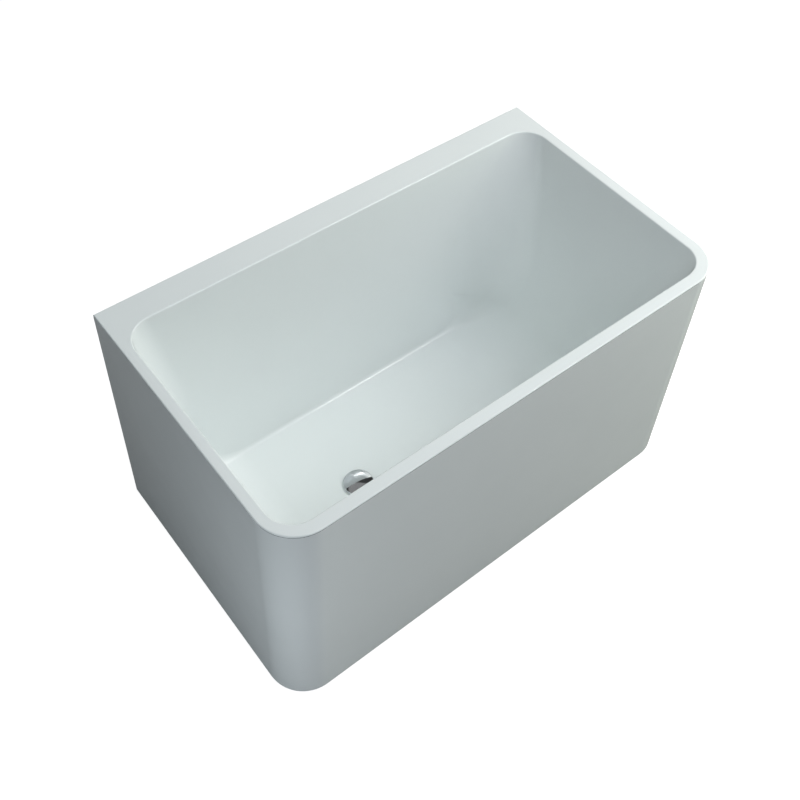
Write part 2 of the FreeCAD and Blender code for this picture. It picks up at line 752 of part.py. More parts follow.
def make_foot(corner, x, y):
    """One levelling foot: pad, threaded stud, lock nut, and the nut welded under the rail."""
    neck, socket = "stud_radius + socket_clearance", "stud_collar_radius + socket_clearance"
    socket_floor = "stud_collar_level - socket_clearance"
    socket_ceiling = "stud_collar_level + stud_collar_height + socket_clearance"
    foot_pad = turned(corner + "_foot_pad", [
        ("0", "0"), ("pad_radius", "0"), ("pad_radius", "pad_rim_height"), ("pad_top_radius", "pad_height"),
        (neck, "pad_height"), (neck, socket_ceiling), (socket, socket_ceiling), (socket, socket_floor),
        ("0", socket_floor),
    ])
    stud = turned(corner + "_foot_stud", [
        ("0", "stud_collar_level"), ("stud_collar_radius", "stud_collar_level"),
        ("stud_collar_radius", "stud_collar_level + stud_collar_height"),
        ("stud_radius", "stud_collar_level + stud_collar_height"),
        ("stud_radius", "stud_top_level - stud_chamfer"),
        ("stud_radius - stud_chamfer", "stud_top_level"), ("0", "stud_top_level"),
    ])
    spanner_flats = new_sketch(stud, "XY_Plane", "pad_height + socket_clearance")
    hexagon(spanner_flats, "stud_hex_flats")
    pad(stud, spanner_flats, "stud_hex_height")
    lock_nut = new_body(corner + "_lock_nut")
    weld_nut = new_body(corner + "_weld_nut")
    for nut, level, height in ((lock_nut, "lock_nut_bottom", "lock_nut_height"),
                               (weld_nut, "weld_nut_bottom", "weld_nut_height")):
        sketch = new_sketch(nut, "XY_Plane", level)
        hexagon(sketch, "nut_flats")
        circle(sketch, "stud_radius + running_fit")
        pad(nut, sketch, height)
    pieces = [foot_pad, stud, lock_nut, weld_nut]
    for piece in pieces:
        place(piece, x, y)
    return pieces


def make_waste():
    """Pop-up waste: flanged body with its washers and back nut, latch cartridge, and the lifting plug."""
    groove_radius = "tail_radius - tail_groove_depth"
    body = turned("waste_body", [
        ("flange_radius", "flange_bottom"), ("flange_radius", "flange_top", "flange_thickness / 2"),
        ("throat_radius", "flange_top"), ("tail_bore_radius", "flange_top - throat_depth"),
        ("tail_bore_radius", "tail_end_level"), ("tail_radius", "tail_end_level"),
        ("tail_radius", "tail_groove_bottom"), (groove_radius, "tail_groove_bottom"),
        (groove_radius, "tail_groove_top"), ("tail_radius", "tail_groove_top"),
        ("tail_radius", "flange_bottom"),
    ])
    spider = new_sketch(body, "XY_Plane", "spider_level")
    circle(spider, "spider_hub_radius")
    pad(body, spider, "spider_height")
    reach, half = "(tail_bore_radius + (tail_radius - tail_bore_radius) / 2)", "spider_bar_width / 2"
    for bar in ((reach, half), (half, reach)):
        sketch = new_sketch(body, "XY_Plane", "spider_level")
        rectangle(sketch, "-" + bar[0], bar[0], "-" + bar[1], bar[1])
        pad(body, sketch, "spider_height")
    rings = [
        ("waste_top_gasket", "floor_level", "flange_bottom", "top_gasket_radius"),
        ("waste_bottom_gasket", "slip_washer_top", "board_top", "bottom_gasket_radius"),
        ("waste_slip_washer", "back_nut_top", "slip_washer_top", "bottom_gasket_radius"),
    ]
    pieces = [body]
    inner = "tail_radius + ring_clearance"
    for label, low, high, outer in rings:
        pieces.append(turned(label, [(inner, low), (outer, low), (outer, high), (inner, high)]))
    back_nut = new_body("waste_back_nut")
    sketch = new_sketch(back_nut, "XY_Plane", "back_nut_top - back_nut_height")
    hexagon(sketch, "back_nut_flats")
    circle(sketch, "tail_radius + nut_thread_clearance")
    pad(back_nut, sketch, "back_nut_height")
    pieces.append(back_nut)
    pieces.append(turned("latch_cartridge", [
        ("0", "cartridge_bottom"), ("cartridge_radius", "cartridge_bottom"),
        ("cartridge_radius", "cartridge_top"), ("stem_radius + running_fit", "cartridge_top"),
        ("stem_radius + running_fit", "cartridge_top - cartridge_neck"),
        ("spring_chamber_radius", "cartridge_top - cartridge_neck"),
        ("spring_chamber_radius", "spring_bottom"), ("0", "spring_bottom"),
    ]))
    seal_bottom = "flange_top + socket_clearance"
    pieces.append(turned("popup_cap", [
        ("0", "cap_top"), ("cap_radius / 2", "cap_top", "cap_dome_radius"),
        ("cap_radius", "cap_shoulder", "cap_edge_radius"), ("cap_radius", "cap_bottom"),
        ("cap_radius - cap_wall", "cap_bottom"), ("cap_radius - cap_wall", seal_bottom),
        ("seal_outer_radius + cap_wall", "seal_top"), ("0", "seal_top"),
    ]))
    pieces.append(turned("plug_seal", [
        ("seal_inner_radius", seal_bottom), ("seal_outer_radius", seal_bottom),
        ("seal_outer_radius", "seal_top"), ("seal_inner_radius", "seal_top"),
    ]))
    pieces.append(turned("plug_stem", [
        ("0", "piston_bottom"), ("piston_radius", "piston_bottom"),
        ("piston_radius", "piston_bottom + piston_height"), ("stem_radius", "piston_bottom + piston_height"),
        ("stem_radius", "seal_top - cap_wall"), ("cap_hub_radius", "seal_top - cap_wall"),
        ("cap_hub_radius", "seal_top"), ("0", "seal_top"),
    ]))
    for piece in pieces:
        place(piece, "-drain_distance", "basin_middle")
    return pieces + [make_latch_spring()]


def make_latch_spring():
    """Compression spring: a ruled loft through sections of the wire along its helix."""
    wire, coil = number("spring_wire_radius"), number("spring_coil_radius")
    per_turn, sides = int(number("spring_sections_per_turn")), int(number("spring_wire_sides"))
    rise = number("(spring_length - 2 * spring_wire_radius) / spring_turns") / (2 * math.pi)
    sections = []
    for step in range(int(number("spring_turns")) * per_turn + 1):
        turn = 2 * math.pi * step / per_turn
        outward = FreeCAD.Vector(math.cos(turn), math.sin(turn), 0)
        along = FreeCAD.Vector(-coil * math.sin(turn), coil * math.cos(turn), rise).normalize()
        upward = along.cross(outward)
        middle = outward * coil + FreeCAD.Vector(0, 0, rise * turn)
        angles = [2 * math.pi * side / sides for side in range(sides + 1)]
        sections.append(Part.makePolygon(
            [middle + (outward * math.cos(angle) + upward * math.sin(angle)) * wire for angle in angles]))
    spring = doc.addObject("Part::Feature", "latch_spring")
    spring.Label = "latch_spring"
    spring.Shape = Part.makeLoft(sections, True, True)
    place(spring, "-drain_distance", "basin_middle", "spring_bottom + spring_wire_radius")
    return spring


bracket_screw_level = "(bracket_top + bracket_height / 3)"
board_screw_places = [
    (x, y)
    for x in ("floor_left + board_screw_left_gap", "floor_right - board_screw_right_gap")
    for y in ("front_rail_place", "back_rail_place")
]
post_screw_places = [
    ("%scross_rail_reach %s post_screw_spread" % (sign, step), "post_place")
    for sign in ("-", "") for step in ("-", "+")
]
foot_places = {
    "front_left": ("-cross_rail_reach", "foot_front"),
    "front_right": ("cross_rail_reach", "foot_front"),
    "back_left": ("-cross_rail_reach", "foot_back"),
    "back_right": ("cross_rail_reach", "foot_back"),
    "middle": ("middle_rail_distance", "basin_middle"),
}
batten_face = "(half_length - skirt_wall - batten_thickness)"
front_face = "(half_width - skirt_wall - batten_thickness)"
end_reach = batten_face + " - cross_rail_reach - tube_side / 2"
front_reach = front_face + " + cross_rail_front"
brackets = {
    "left_bracket": ("-(cross_rail_reach + tube_side / 2)", "basin_middle", 180, end_reach),
    "right_bracket": ("cross_rail_reach + tube_side / 2", "basin_middle", 0, end_reach),
    "front_left_bracket": ("-cross_rail_reach", "cross_rail_front", -90, front_reach),
    "front_right_bracket": ("cross_rail_reach", "cross_rail_front", -90, front_reach),
    "front_middle_bracket": ("middle_rail_distance", "front_rail_place - tube_side / 2", -90,
                             front_face + " + front_rail_place - tube_side / 2"),
}

nodes = [make_inner_shell(), make_basin_laminate(), make_outer_skirt(), make_rim_bond(), make_base_board()]
nodes += [make_long_rail("front_long_rail", "front_rail_place", "front"),
          make_long_rail("back_long_rail", "back_rail_place", "back")]
nodes += [make_cross_rail("left_cross_rail", -1), make_cross_rail("right_cross_rail", 1), make_middle_rail()]
for side, sign in (("left", "-"), ("right", "")):
    nodes.append(make_end_cap(side + "_front_end_cap", sign + "cross_rail_reach", "cross_rail_front", -1))
    nodes.append(make_end_cap(side + "_back_end_cap", sign + "cross_rail_reach", "cross_rail_back", 1))
    nodes.append(make_post(side + "_post", sign + "cross_rail_reach"))
nodes.append(make_deck_batten())
corner_end = "half_length - front_corner_radius - batten_end_gap"
side_start = "front_corner_radius + batten_end_gap - half_width"
side_finish = "half_width - skirt_return_reach"
nodes.append(make_skirt_batten("front_skirt_batten", "front", "-(%s)" % corner_end, corner_end,
                               ["-cross_rail_reach", "middle_rail_distance", "cross_rail_reach"]))
nodes.append(make_skirt_batten("left_skirt_batten", "left", side_start, side_finish, ["basin_middle"]))
nodes.append(make_skirt_batten("right_skirt_batten", "right", side_start, side_finish, ["basin_middle"]))
bracket_screw_places = []
for label, (x, y, turn, reach) in brackets.items():
    nodes.append(make_bracket(label, x, y, turn, reach))
    way = (round(math.cos(math.radians(turn))), round(math.sin(math.radians(turn))), 0)
    inward = "(%s) + (%d) * (%%s)"
    for step, level, heading in (
            ("-bracket_lap / 2", "bracket_top - bracket_thickness", (0, 0, 1)),
            ("%s - bracket_thickness" % reach, bracket_screw_level, way)):
        spot = ((inward % (x, way[0])) % step, (inward % (y, way[1])) % step, level)
        bracket_screw_places.append((spot, heading))
nodes.append(make_screws("bracket_screws", bracket_screw_places, "screw_length"))
nodes.append(make_screws("board_screws", [((x, y, "rail_bottom"), (0, 0, 1)) for x, y in board_screw_places],
                         "board_screw_length"))
post_level = "deck_batten_bottom - post_plate_thickness"
nodes.append(make_screws("post_screws", [((x, y, post_level), (0, 0, 1)) for x, y in post_screw_places],
                         "screw_length"))
for corner, (x, y) in foot_places.items():
    nodes += make_foot(corner, x, y)
nodes += make_waste()

doc.recompute()
for item in doc.Objects:
    if {"Invalid", "Error"} & set(item.State):
        raise RuntimeError("%s did not build: %s" % (item.Label, item.State))
for node in nodes:
    if node.Shape.isNull() or not node.Shape.isValid() or not node.Shape.Solids:
        raise RuntimeError(node.Label + " has no valid solid")
os.makedirs("parts", exist_ok=True)
for node in nodes:
    node.Shape.exportStep("parts/%s.step" % node.Label)
    box = node.Shape.BoundBox
    print("%-22s solids %2d  volume %10.1f  x %8.2f %8.2f  y %8.2f %8.2f  z %7.2f %7.2f" % (
        node.Label, len(node.Shape.Solids), node.Shape.Volume, box.XMin, box.XMax, box.YMin, box.YMax,
        box.ZMin, box.ZMax))
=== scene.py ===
import math

import bmesh
import bpy
from mathutils import Matrix, Vector


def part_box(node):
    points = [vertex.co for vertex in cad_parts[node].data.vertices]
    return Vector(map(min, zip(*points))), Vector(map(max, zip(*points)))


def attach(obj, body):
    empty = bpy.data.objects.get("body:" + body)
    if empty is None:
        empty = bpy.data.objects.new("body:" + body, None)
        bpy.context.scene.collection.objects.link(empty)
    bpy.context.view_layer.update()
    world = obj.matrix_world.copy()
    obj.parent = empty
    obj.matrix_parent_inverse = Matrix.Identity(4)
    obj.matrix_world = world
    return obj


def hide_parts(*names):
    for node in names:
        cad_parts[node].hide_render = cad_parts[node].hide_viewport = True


# Freestanding soaking tub in gloss white acrylic, on a steel cradle with levelling feet, with a chrome
# push-to-open waste. Lengths are metres; the origin is under the middle of the tub, on the floor.

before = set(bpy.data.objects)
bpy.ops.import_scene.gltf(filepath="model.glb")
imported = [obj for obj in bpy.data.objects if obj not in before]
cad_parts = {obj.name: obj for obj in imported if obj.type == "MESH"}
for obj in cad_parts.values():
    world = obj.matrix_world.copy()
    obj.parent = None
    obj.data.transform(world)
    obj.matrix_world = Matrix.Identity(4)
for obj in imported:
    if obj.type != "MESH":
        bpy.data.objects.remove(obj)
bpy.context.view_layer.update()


# Basin and rim: one moulding of cast acrylic, drawn hot over a mould. The long section runs down the drain
# end, round a large foot, along the level floor, round a second foot and up the sloping backrest. Its
# corners are wide at the feet, tighter at the rim, and run out into a small crease along the floor.
def srgb(text):
    """Linear colour from an sRGB hex value."""
    values = [int(text[place:place + 2], 16) / 255 for place in (0, 2, 4)]
    return [v / 12.92 if v <= 0.04045 else ((v + 0.055) / 1.055) ** 2.4 for v in values] + [1.0]


def add(tree, kind, inputs=None, **settings):
    """Adds a shader node with its settings; an input is a value or the output that feeds it."""
    node = tree.nodes.new("ShaderNode" + kind)
    for name, value in settings.items():
        setattr(node, name, value)
    for key, value in (inputs or {}).items():
        if isinstance(value, bpy.types.NodeSocket):
            tree.links.new(value, node.inputs[key])
        else:
            node.inputs[key].default_value = value
    return node


def start_material(name, **constants):
    """Node material: returns it with its tree and the place on the object in metres."""
    material = bpy.data.materials.new(name)
    material.use_nodes = True
    tree = material.node_tree
    for key, value in constants.items():
        tree.nodes["Principled BSDF"].inputs[key.replace("_", " ")].default_value = value
    return material, tree, add(tree, "TexCoord").outputs["Object"]


def finish_material(tree, tint, roughness, normal):
    shader = tree.nodes["Principled BSDF"]
    for name, node in (("Base Color", tint), ("Roughness", roughness), ("Normal", normal)):
        tree.links.new(node.outputs[2 if node.type == "MIX" else 0], shader.inputs[name])


def dress(material, *names):
    """Puts a material on CAD nodes that stay in view."""
    for name in names:
        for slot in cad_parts[name].material_slots:
            slot.material = material


def make_piece(name, mesh, material, body, slot, *nodes):
    """Turns a bmesh into a smooth piece that rides on a body and stands for its CAD nodes."""
    crisp_from = math.radians(35)
    bmesh.ops.remove_doubles(mesh, verts=mesh.verts, dist=1e-6)
    bmesh.ops.dissolve_degenerate(mesh, edges=mesh.edges, dist=1e-7)
    bmesh.ops.recalc_face_normals(mesh, faces=mesh.faces)
    for face in mesh.faces:
        face.smooth = True
    for edge in mesh.edges:
        edge.smooth = len(edge.link_faces) == 2 and edge.calc_face_angle() < crisp_from
    data = bpy.data.meshes.new(name)
    mesh.to_mesh(data)
    mesh.free()
    piece = bpy.data.objects.new(name, data)
    bpy.context.scene.collection.objects.link(piece)
    data.materials.append(material)
    weighted = piece.modifiers.new("weighted normals", "WEIGHTED_NORMAL")
    weighted.keep_sharp = True
    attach(piece, body)
    if nodes:
        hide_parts(*nodes)


# Gloss acrylic: very slow waves, some 140 mm long, come from the mould and a fine orange peel of 3 mm from the
# sheet, and wiping leaves the gloss a little uneven.
acrylic, tree, place = start_material("gloss acrylic, vacuum formed", IOR=1.49)
cloudy = add(tree, "TexNoise", {"Vector": place, "Scale": 3.5, "Detail": 3.0})
wiped = add(tree, "TexNoise", {"Vector": place, "Scale": 14.0, "Detail": 5.0, "Roughness": 0.6})
tint = add(tree, "Mix", {0: cloudy.outputs["Fac"], 6: srgb("EAEFEE"), 7: srgb("EFF3F2")}, data_type="RGBA")
gloss = add(tree, "MapRange", {"Value": wiped.outputs["Fac"], 1: 0.3, 2: 0.7, 3: 0.10, 4: 0.17})
slow = add(tree, "TexNoise", {"Vector": place, "Scale": 7.0, "Detail": 1.0})
peel = add(tree, "TexNoise", {"Vector": place, "Scale": 330.0, "Detail": 2.0})
waves = add(tree, "Bump", {"Strength": 0.35, "Distance": 0.0015, "Height": slow.outputs["Fac"]})
skin = add(tree, "Bump", {"Strength": 0.06, "Distance": 0.0002, "Height": peel.outputs["Fac"],
                          "Normal": waves.outputs["Normal"]})
finish_material(tree, tint, gloss, skin)

TOP, FLOOR = 0.675, 0.100
LEFT, RIGHT, FRONT, BACK = -0.5755, 0.5718, -0.3204, 0.2752
DEPTH = TOP - FLOOR
LEFT_LEAN, RIGHT_LEAN, SIDE_LEAN = 0.0452, 0.1697, 0.0468
LEFT_SLOPE, RIGHT_SLOPE, SIDE_SLOPE = LEFT_LEAN / DEPTH, RIGHT_LEAN / DEPTH, SIDE_LEAN / DEPTH
LEFT_FOOT, RIGHT_FOOT = 0.195, 0.150
RIM_CORNER, LEFT_CORNER, RIGHT_CORNER, CREASE = 0.062, 0.0797, 0.1136, 0.012
LEFT_WALL_CORNER = (RIM_CORNER, LEFT_CORNER, 0.052, -0.078)
LEFT_FOOT_CORNER = (LEFT_CORNER, CREASE, -0.053, -0.03)
RIGHT_WALL_CORNER = (RIM_CORNER, RIGHT_CORNER, 0.160, -0.280)
RIGHT_FOOT_CORNER = (RIGHT_CORNER, CREASE, -0.100, 0.0)
CREASE_FLAT, FLAT_TILT, FLAT_FADE = math.radians(6.0), math.radians(28.9), 0.020
DRAIN, DRAIN_HOLE, DRAIN_PATCH = Vector((-0.180, (FRONT + BACK) / 2, 0.0)), 0.026, 0.045


def eased(law, share):
    """Corner radius along an edge: a cubic between two radii with its two end slopes."""
    first, last, rise, fall = law
    return ((2 * share ** 3 - 3 * share ** 2 + 1) * first + (share ** 3 - 2 * share ** 2 + share) * rise
            + (3 * share ** 2 - 2 * share ** 3) * last + (share ** 3 - share ** 2) * fall)


def long_section():
    """Points (x, z), the way into the basin there, and the radius of the corner beside them."""
    left_turn, right_turn = math.atan(LEFT_SLOPE), math.atan(RIGHT_SLOPE)
    floor_left = LEFT + LEFT_LEAN + LEFT_FOOT * (1 / math.cos(left_turn) - LEFT_SLOPE)
    floor_right = RIGHT - RIGHT_LEAN - RIGHT_FOOT * (1 / math.cos(right_turn) - RIGHT_SLOPE)
    left_start = FLOOR + LEFT_FOOT * (1 - math.sin(left_turn))
    right_start = FLOOR + RIGHT_FOOT * (1 - math.sin(right_turn))
    above, wall_steps, foot_steps = 0.04, 22, 30
    rows = []

    def wall(level, start, law, side):
        share = (TOP - level) / (TOP - start)
        radius = eased(law, share) if share > 0 else law[0] + law[2] * share
        if side < 0:
            point = (LEFT + LEFT_SLOPE * (TOP - level), level)
            return point, (math.cos(left_turn), math.sin(left_turn)), radius
        point = (RIGHT - RIGHT_SLOPE * (TOP - level), level)
        return point, (-math.cos(right_turn), math.sin(right_turn)), radius

    def foot(centre, size, angle, share, law):
        point = (centre - size * math.cos(angle), FLOOR + size * (1 - math.sin(angle)))
        return point, (math.cos(angle), math.sin(angle)), eased(law, share)

    for step in range(wall_steps):
        level = TOP + above - (TOP + above - left_start) * step / wall_steps
        rows.append(wall(level, left_start, LEFT_WALL_CORNER, -1))
    for step in range(foot_steps + 1):
        angle = left_turn + (math.pi / 2 - left_turn) * step / foot_steps
        rows.append(foot(floor_left, LEFT_FOOT, angle, step / foot_steps, LEFT_FOOT_CORNER))
    for x in (-0.30, DRAIN.x - DRAIN_PATCH, DRAIN.x + DRAIN_PATCH, -0.05, 0.05, 0.15, 0.23):
        rows.append(((x, FLOOR), (0.0, 1.0), CREASE))
    for step in range(foot_steps + 1):
        angle = math.pi / 2 + (math.pi / 2 - right_turn) * step / foot_steps
        rows.append(foot(floor_right, RIGHT_FOOT, angle, 1 - step / foot_steps, RIGHT_FOOT_CORNER))
    for step in range(1, wall_steps + 1):
        level = right_start + (TOP + above - right_start) * step / wall_steps
        rows.append(wall(level, right_start, RIGHT_WALL_CORNER, 1))
    return rows


def basin_skin(mesh, growth, cut_level):
    """One face of the basin's wall, grown outwards, open at the top and at the drain hole.

    The crease along the floor has a flat 2 mm wide, left by the scraper, that fades out where it widens.
    """
    arc_steps, hole_steps = 20, 64
    side = math.hypot(1.0, SIDE_SLOPE)
    half_floor = (BACK - FRONT) / 2 - SIDE_SLOPE * DEPTH - CREASE
    hatch = 0.5 * DRAIN_PATCH / half_floor
    shares = (0.2, 0.5 - hatch, 0.5 + hatch, 0.8)
    grid = []
    for (x, z), (nx, nz), radius in long_section():
        centre_x, centre_z = x + radius * nx, z + radius * nz
        down = Vector((-nx, 0.0, -nz))
        flat_half = CREASE_FLAT * max(0.0, (FLAT_FADE - radius) / (FLAT_FADE - CREASE))
        row = []
        for sign, wall_y in ((1, FRONT), (-1, BACK)):
            centre_y = wall_y + sign * (SIDE_SLOPE * (TOP - centre_z) + radius * side)
            out = Vector((0.0, -sign / side, -SIDE_SLOPE / side))
            centre = Vector((centre_x, centre_y, centre_z))
            arc = []
            for step in range(arc_steps + 1):
                away = abs(down.angle(out) * step / arc_steps - FLAT_TILT)
                reach = (radius + growth) * (math.cos(flat_half) / math.cos(away) if away < flat_half else 1.0)
                arc.append(centre + reach * down.slerp(out, step / arc_steps))
            row.append(arc)
        front_arc, back_arc = row
        middle = [front_arc[0].lerp(back_arc[0], share) for share in shares]
        grid.append([mesh.verts.new(point) for point in front_arc[::-1] + middle + back_arc])
    last = len(grid[0]) - 1
    hatch_column = arc_steps + 2
    hatch_faces = []
    for near, far in zip(grid, grid[1:]):
        for column in range(last):
            face = mesh.faces.new((near[column], near[column + 1], far[column + 1], far[column]))
            flat = abs(near[column].co.z - far[column].co.z) < 1e-6
            middle_x = (near[column].co.x + far[column].co.x) / 2
            if flat and column == hatch_column and abs(middle_x - DRAIN.x) < 0.01:
                hatch_faces.append(face)
    for column in (0, last):
        mesh.faces.new([row[column] for row in grid])
    frame_edges = [edge for face in hatch_faces for edge in face.edges]
    level = hatch_faces[0].verts[0].co.z
    bmesh.ops.delete(mesh, geom=hatch_faces, context="FACES_ONLY")
    ring = bmesh.ops.create_circle(mesh, segments=hole_steps, radius=DRAIN_HOLE,
                                   matrix=Matrix.Translation(DRAIN + Vector((0, 0, level))))["verts"]
    ring_edges = list({edge for vert in ring for edge in vert.link_edges})
    bmesh.ops.triangle_fill(mesh, edges=frame_edges + ring_edges, use_beauty=True)
    bmesh.ops.bisect_plane(mesh, geom=[*mesh.verts, *mesh.edges, *mesh.faces], plane_co=(0, 0, cut_level),
                           plane_no=(0, 0, 1), clear_outer=True, dist=1e-7)


def open_loop(mesh, level):
    """Edges of the open mouth at a level, in order, as a list of vertices."""
    edges = [edge for edge in mesh.edges if edge.is_boundary
             and all(abs(vert.co.z - level) < 1e-6 for vert in edge.verts)]
    loop = [edges[0].verts[0], edges[0].verts[1]]
    used = {edges[0]}
    while True:
        onward = [edge for edge in loop[-1].link_edges if edge in edges and edge not in used]
        if not onward:
            return loop[:-1] if loop[-1] is loop[0] else loop
        used.add(onward[0])
        loop.append(onward[0].other_vert(loop[-1]))


HALF_LENGTH, HALF_WIDTH, FRONT_CORNER = 0.600, 0.350, 0.091


def front_corners(inset, steps):
    """Plan points round the two front corners, from the drain end to the backrest end."""
    x, y, radius = HALF_LENGTH - FRONT_CORNER, HALF_WIDTH - FRONT_CORNER, FRONT_CORNER - inset
    points = []
    for turn, sign in ((math.pi, -1), (1.5 * math.pi, 1)):
        for step in range(steps + 1):
            angle = turn + 0.5 * math.pi * step / steps
            points.append((sign * x + radius * math.cos(angle), radius * math.sin(angle) - y))
    return points


def rim_outline(inset):
    """Plan of the rim: round at the front, square at the wall side."""
    x, y = HALF_LENGTH - inset, HALF_WIDTH - inset
    return [(x, y), (-x, y)] + front_corners(inset, 24)


def ring_of(mesh, points):
    return [mesh.verts.new(point) for point in points]


def bridge(mesh, first, second):
    for index in range(len(first)):
        after = (index + 1) % len(first)
        mesh.faces.new((first[index], first[after], second[after], second[index]))


mouth_round, outer_round, lower_round, shell_wall = 0.004, 0.003, 0.0013, 0.005
mouth_steps, outer_steps, lower_steps = 7, 5, 4
inside = bmesh.new()
basin_skin(inside, 0.0, TOP - mouth_round)
mouth = open_loop(inside, TOP - mouth_round)
rounds = [[] for step in range(mouth_steps)]
for vert in mouth:
    normal = sum((face.normal * face.calc_area() for face in vert.link_faces), Vector())
    inward = Vector((-vert.co.x, -vert.co.y, 0.0))
    normal = normal.normalized() * (1 if normal.dot(inward) > 0 else -1)
    level_part = Vector((normal.x, normal.y, 0.0))
    climb = level_part.normalized() * -normal.z + Vector((0, 0, level_part.length))
    vert.co += climb * (mouth_round * normal.z / level_part.length)
    centre = vert.co - mouth_round * normal
    for step, points in enumerate(rounds, 1):
        points.append(centre + mouth_round * normal.slerp(Vector((0, 0, 1)), step / mouth_steps))
before = mouth
for points in rounds:
    after = ring_of(inside, points)
    bridge(inside, before, after)
    before = after
inner_ring = before
outer_rings = []
for step in range(outer_steps + 1):
    angle = 0.5 * math.pi * step / outer_steps
    inset, level = outer_round * (1 - math.sin(angle)), TOP - outer_round * (1 - math.cos(angle))
    outer_rings.append(ring_of(inside, [(x, y, level) for x, y in rim_outline(inset)]))
for step in range(lower_steps + 1):
    angle = 0.5 * math.pi * step / lower_steps
    inset, level = lower_round * (1 - math.cos(angle)), TOP - shell_wall + lower_round * (1 - math.sin(angle))
    outer_rings.append(ring_of(inside, [(x, y, level) for x, y in rim_outline(inset)]))
for upper, lower in zip(outer_rings, outer_rings[1:]):
    bridge(inside, upper, lower)


def close_flat(mesh, outer, inner):
    """Fills the level ring between two closed loops."""
    edges = []
    for loop in (outer, inner):
        for index, vert in enumerate(loop):
            after = loop[(index + 1) % len(loop)]
            edges.append(mesh.edges.get((vert, after)) or mesh.edges.new((vert, after)))
    bmesh.ops.triangle_fill(mesh, edges=edges, use_beauty=True, normal=(0, 0, 1))


close_flat(inside, outer_rings[0], inner_ring)
outside = bmesh.new()
basin_skin(outside, shell_wall, TOP - shell_wall)
hull = bpy.data.meshes.new("basin outside")
outside.to_mesh(hull)
outside.free()
inside.from_mesh(hull)
bpy.data.meshes.remove(hull)
inside.verts.ensure_lookup_table()
under_edges = [edge for edge in inside.edges if edge.is_boundary
               and all(abs(vert.co.z - (TOP - shell_wall)) < 1e-6 for vert in edge.verts)]
bmesh.ops.triangle_fill(inside, edges=under_edges, use_beauty=True, normal=(0, 0, -1))
lip_reach, lip_bottom, lip_top = 0.5745, 0.640, 0.671
lip_middle = Matrix.Translation((0, HALF_WIDTH - shell_wall / 2, (lip_bottom + lip_top) / 2))
bmesh.ops.create_cube(inside, size=1.0,
                      matrix=lip_middle @ Matrix.Diagonal((2 * lip_reach, shell_wall, lip_top - lip_bottom, 1)))
make_piece("basin_moulding", inside, acrylic, "tub", "acrylic", "inner_shell")

# Skirt: the outside wall, moulded in one run round the drain end, the front and the backrest end, with a
# flange under the rim, a softened lower edge and short returns on the wall side.
skirt = bmesh.new()
section = [(0.0, 0.0044), (0.0, 0.6676), (0.0002, 0.6684), (0.0007, 0.6689), (0.0015, 0.669), (0.013, 0.669),
           (0.013, 0.665), (0.005, 0.665), (0.005, 0.0044), (0.0042, 0.0034), (0.0030, 0.003), (0.0014, 0.0031),
           (0.0004, 0.0036)]
skirt_wall, return_end = 0.005, 0.575
loops = []
for inset, level in section:
    end, back = HALF_LENGTH - inset, HALF_WIDTH - min(inset, skirt_wall)
    points = [(-return_end, back), (-end, back), *front_corners(inset, 32), (end, back), (return_end, back)]
    loops.append(ring_of(skirt, [(x, y, level) for x, y in points]))
for first, second in zip(loops, loops[1:] + loops[:1]):
    for index in range(len(first) - 1):
        skirt.faces.new((first[index], first[index + 1], second[index + 1], second[index]))
for end in (0, -1):
    skirt.faces.new([loop[end] for loop in loops])
make_piece("skirt_moulding", skirt, acrylic, "tub", "acrylic", "outer_skirt")

# Glue line: grey structural adhesive squeezed flat between the skirt's flange and the rim, a little short of
# the outer face. Its dark grey is partly the adhesive's own colour and partly painted shade: a thin shadow line
# under the rim.
adhesive, tree, place = start_material("polyurethane adhesive, grey with painted seam shade", IOR=1.5)
lumps = add(tree, "TexNoise", {"Vector": place, "Scale": 260.0, "Detail": 3.0})
# These dark greys paint the seam's shade as well as giving the adhesive its own colour.
tint = add(tree, "Mix", {0: lumps.outputs["Fac"], 6: srgb("3A3E40"), 7: srgb("555A5C")}, data_type="RGBA")
gloss = add(tree, "MapRange", {"Value": lumps.outputs["Fac"], 3: 0.45, 4: 0.7})
beads = add(tree, "Bump", {"Strength": 0.5, "Distance": 0.0006, "Height": lumps.outputs["Fac"]})
finish_material(tree, tint, gloss, beads)
dress(adhesive, "rim_bond")

# Laminate: chopped glass strands and polyester resin, sprayed on the outside of the basin and rolled down
# by hand. The strands are about 1 mm wide and 30 mm long and show through the yellowish resin.
laminate, tree, place = start_material("sprayed glass fibre laminate", IOR=1.55)
strands = None
for turn in ((0, 0.3, 0.1), (0.4, 1.2, 0), (0.2, 2.2, 0.5), (0, 2.8, 1.3), (1.1, 0.2, 2.1)):
    turned = add(tree, "Mapping", {"Vector": place, "Rotation": turn, "Scale": (0.03, 0.0012, 0.0012)},
                 vector_type="TEXTURE")
    streak = add(tree, "TexNoise", {"Vector": turned.outputs[0], "Scale": 1.0, "Detail": 1.0})
    band = add(tree, "MapRange", {"Value": streak.outputs["Fac"], 1: 0.56, 2: 0.66}).outputs[0]
    strands = band if strands is None else add(tree, "Math", {0: strands, 1: band}, operation="MAXIMUM").outputs[0]
pools = add(tree, "TexNoise", {"Vector": place, "Scale": 18.0, "Detail": 4.0})
resin = add(tree, "Mix", {0: pools.outputs["Fac"], 6: srgb("C3BFA6"), 7: srgb("D6D3C1")}, data_type="RGBA")
tint = add(tree, "Mix", {0: strands, 6: resin.outputs[2], 7: srgb("E8E6DC")}, data_type="RGBA")
gloss = add(tree, "MapRange", {"Value": pools.outputs["Fac"], 1: 0.35, 2: 0.65, 3: 0.28, 4: 0.55})
rolled = add(tree, "Bump", {"Strength": 0.6, "Distance": 0.004, "Height": pools.outputs["Fac"]})
raised = add(tree, "Bump", {"Strength": 0.7, "Distance": 0.0007, "Height": strands, "Normal": rolled.outputs[0]})
finish_material(tree, tint, gloss, raised)
dress(laminate, "basin_laminate")


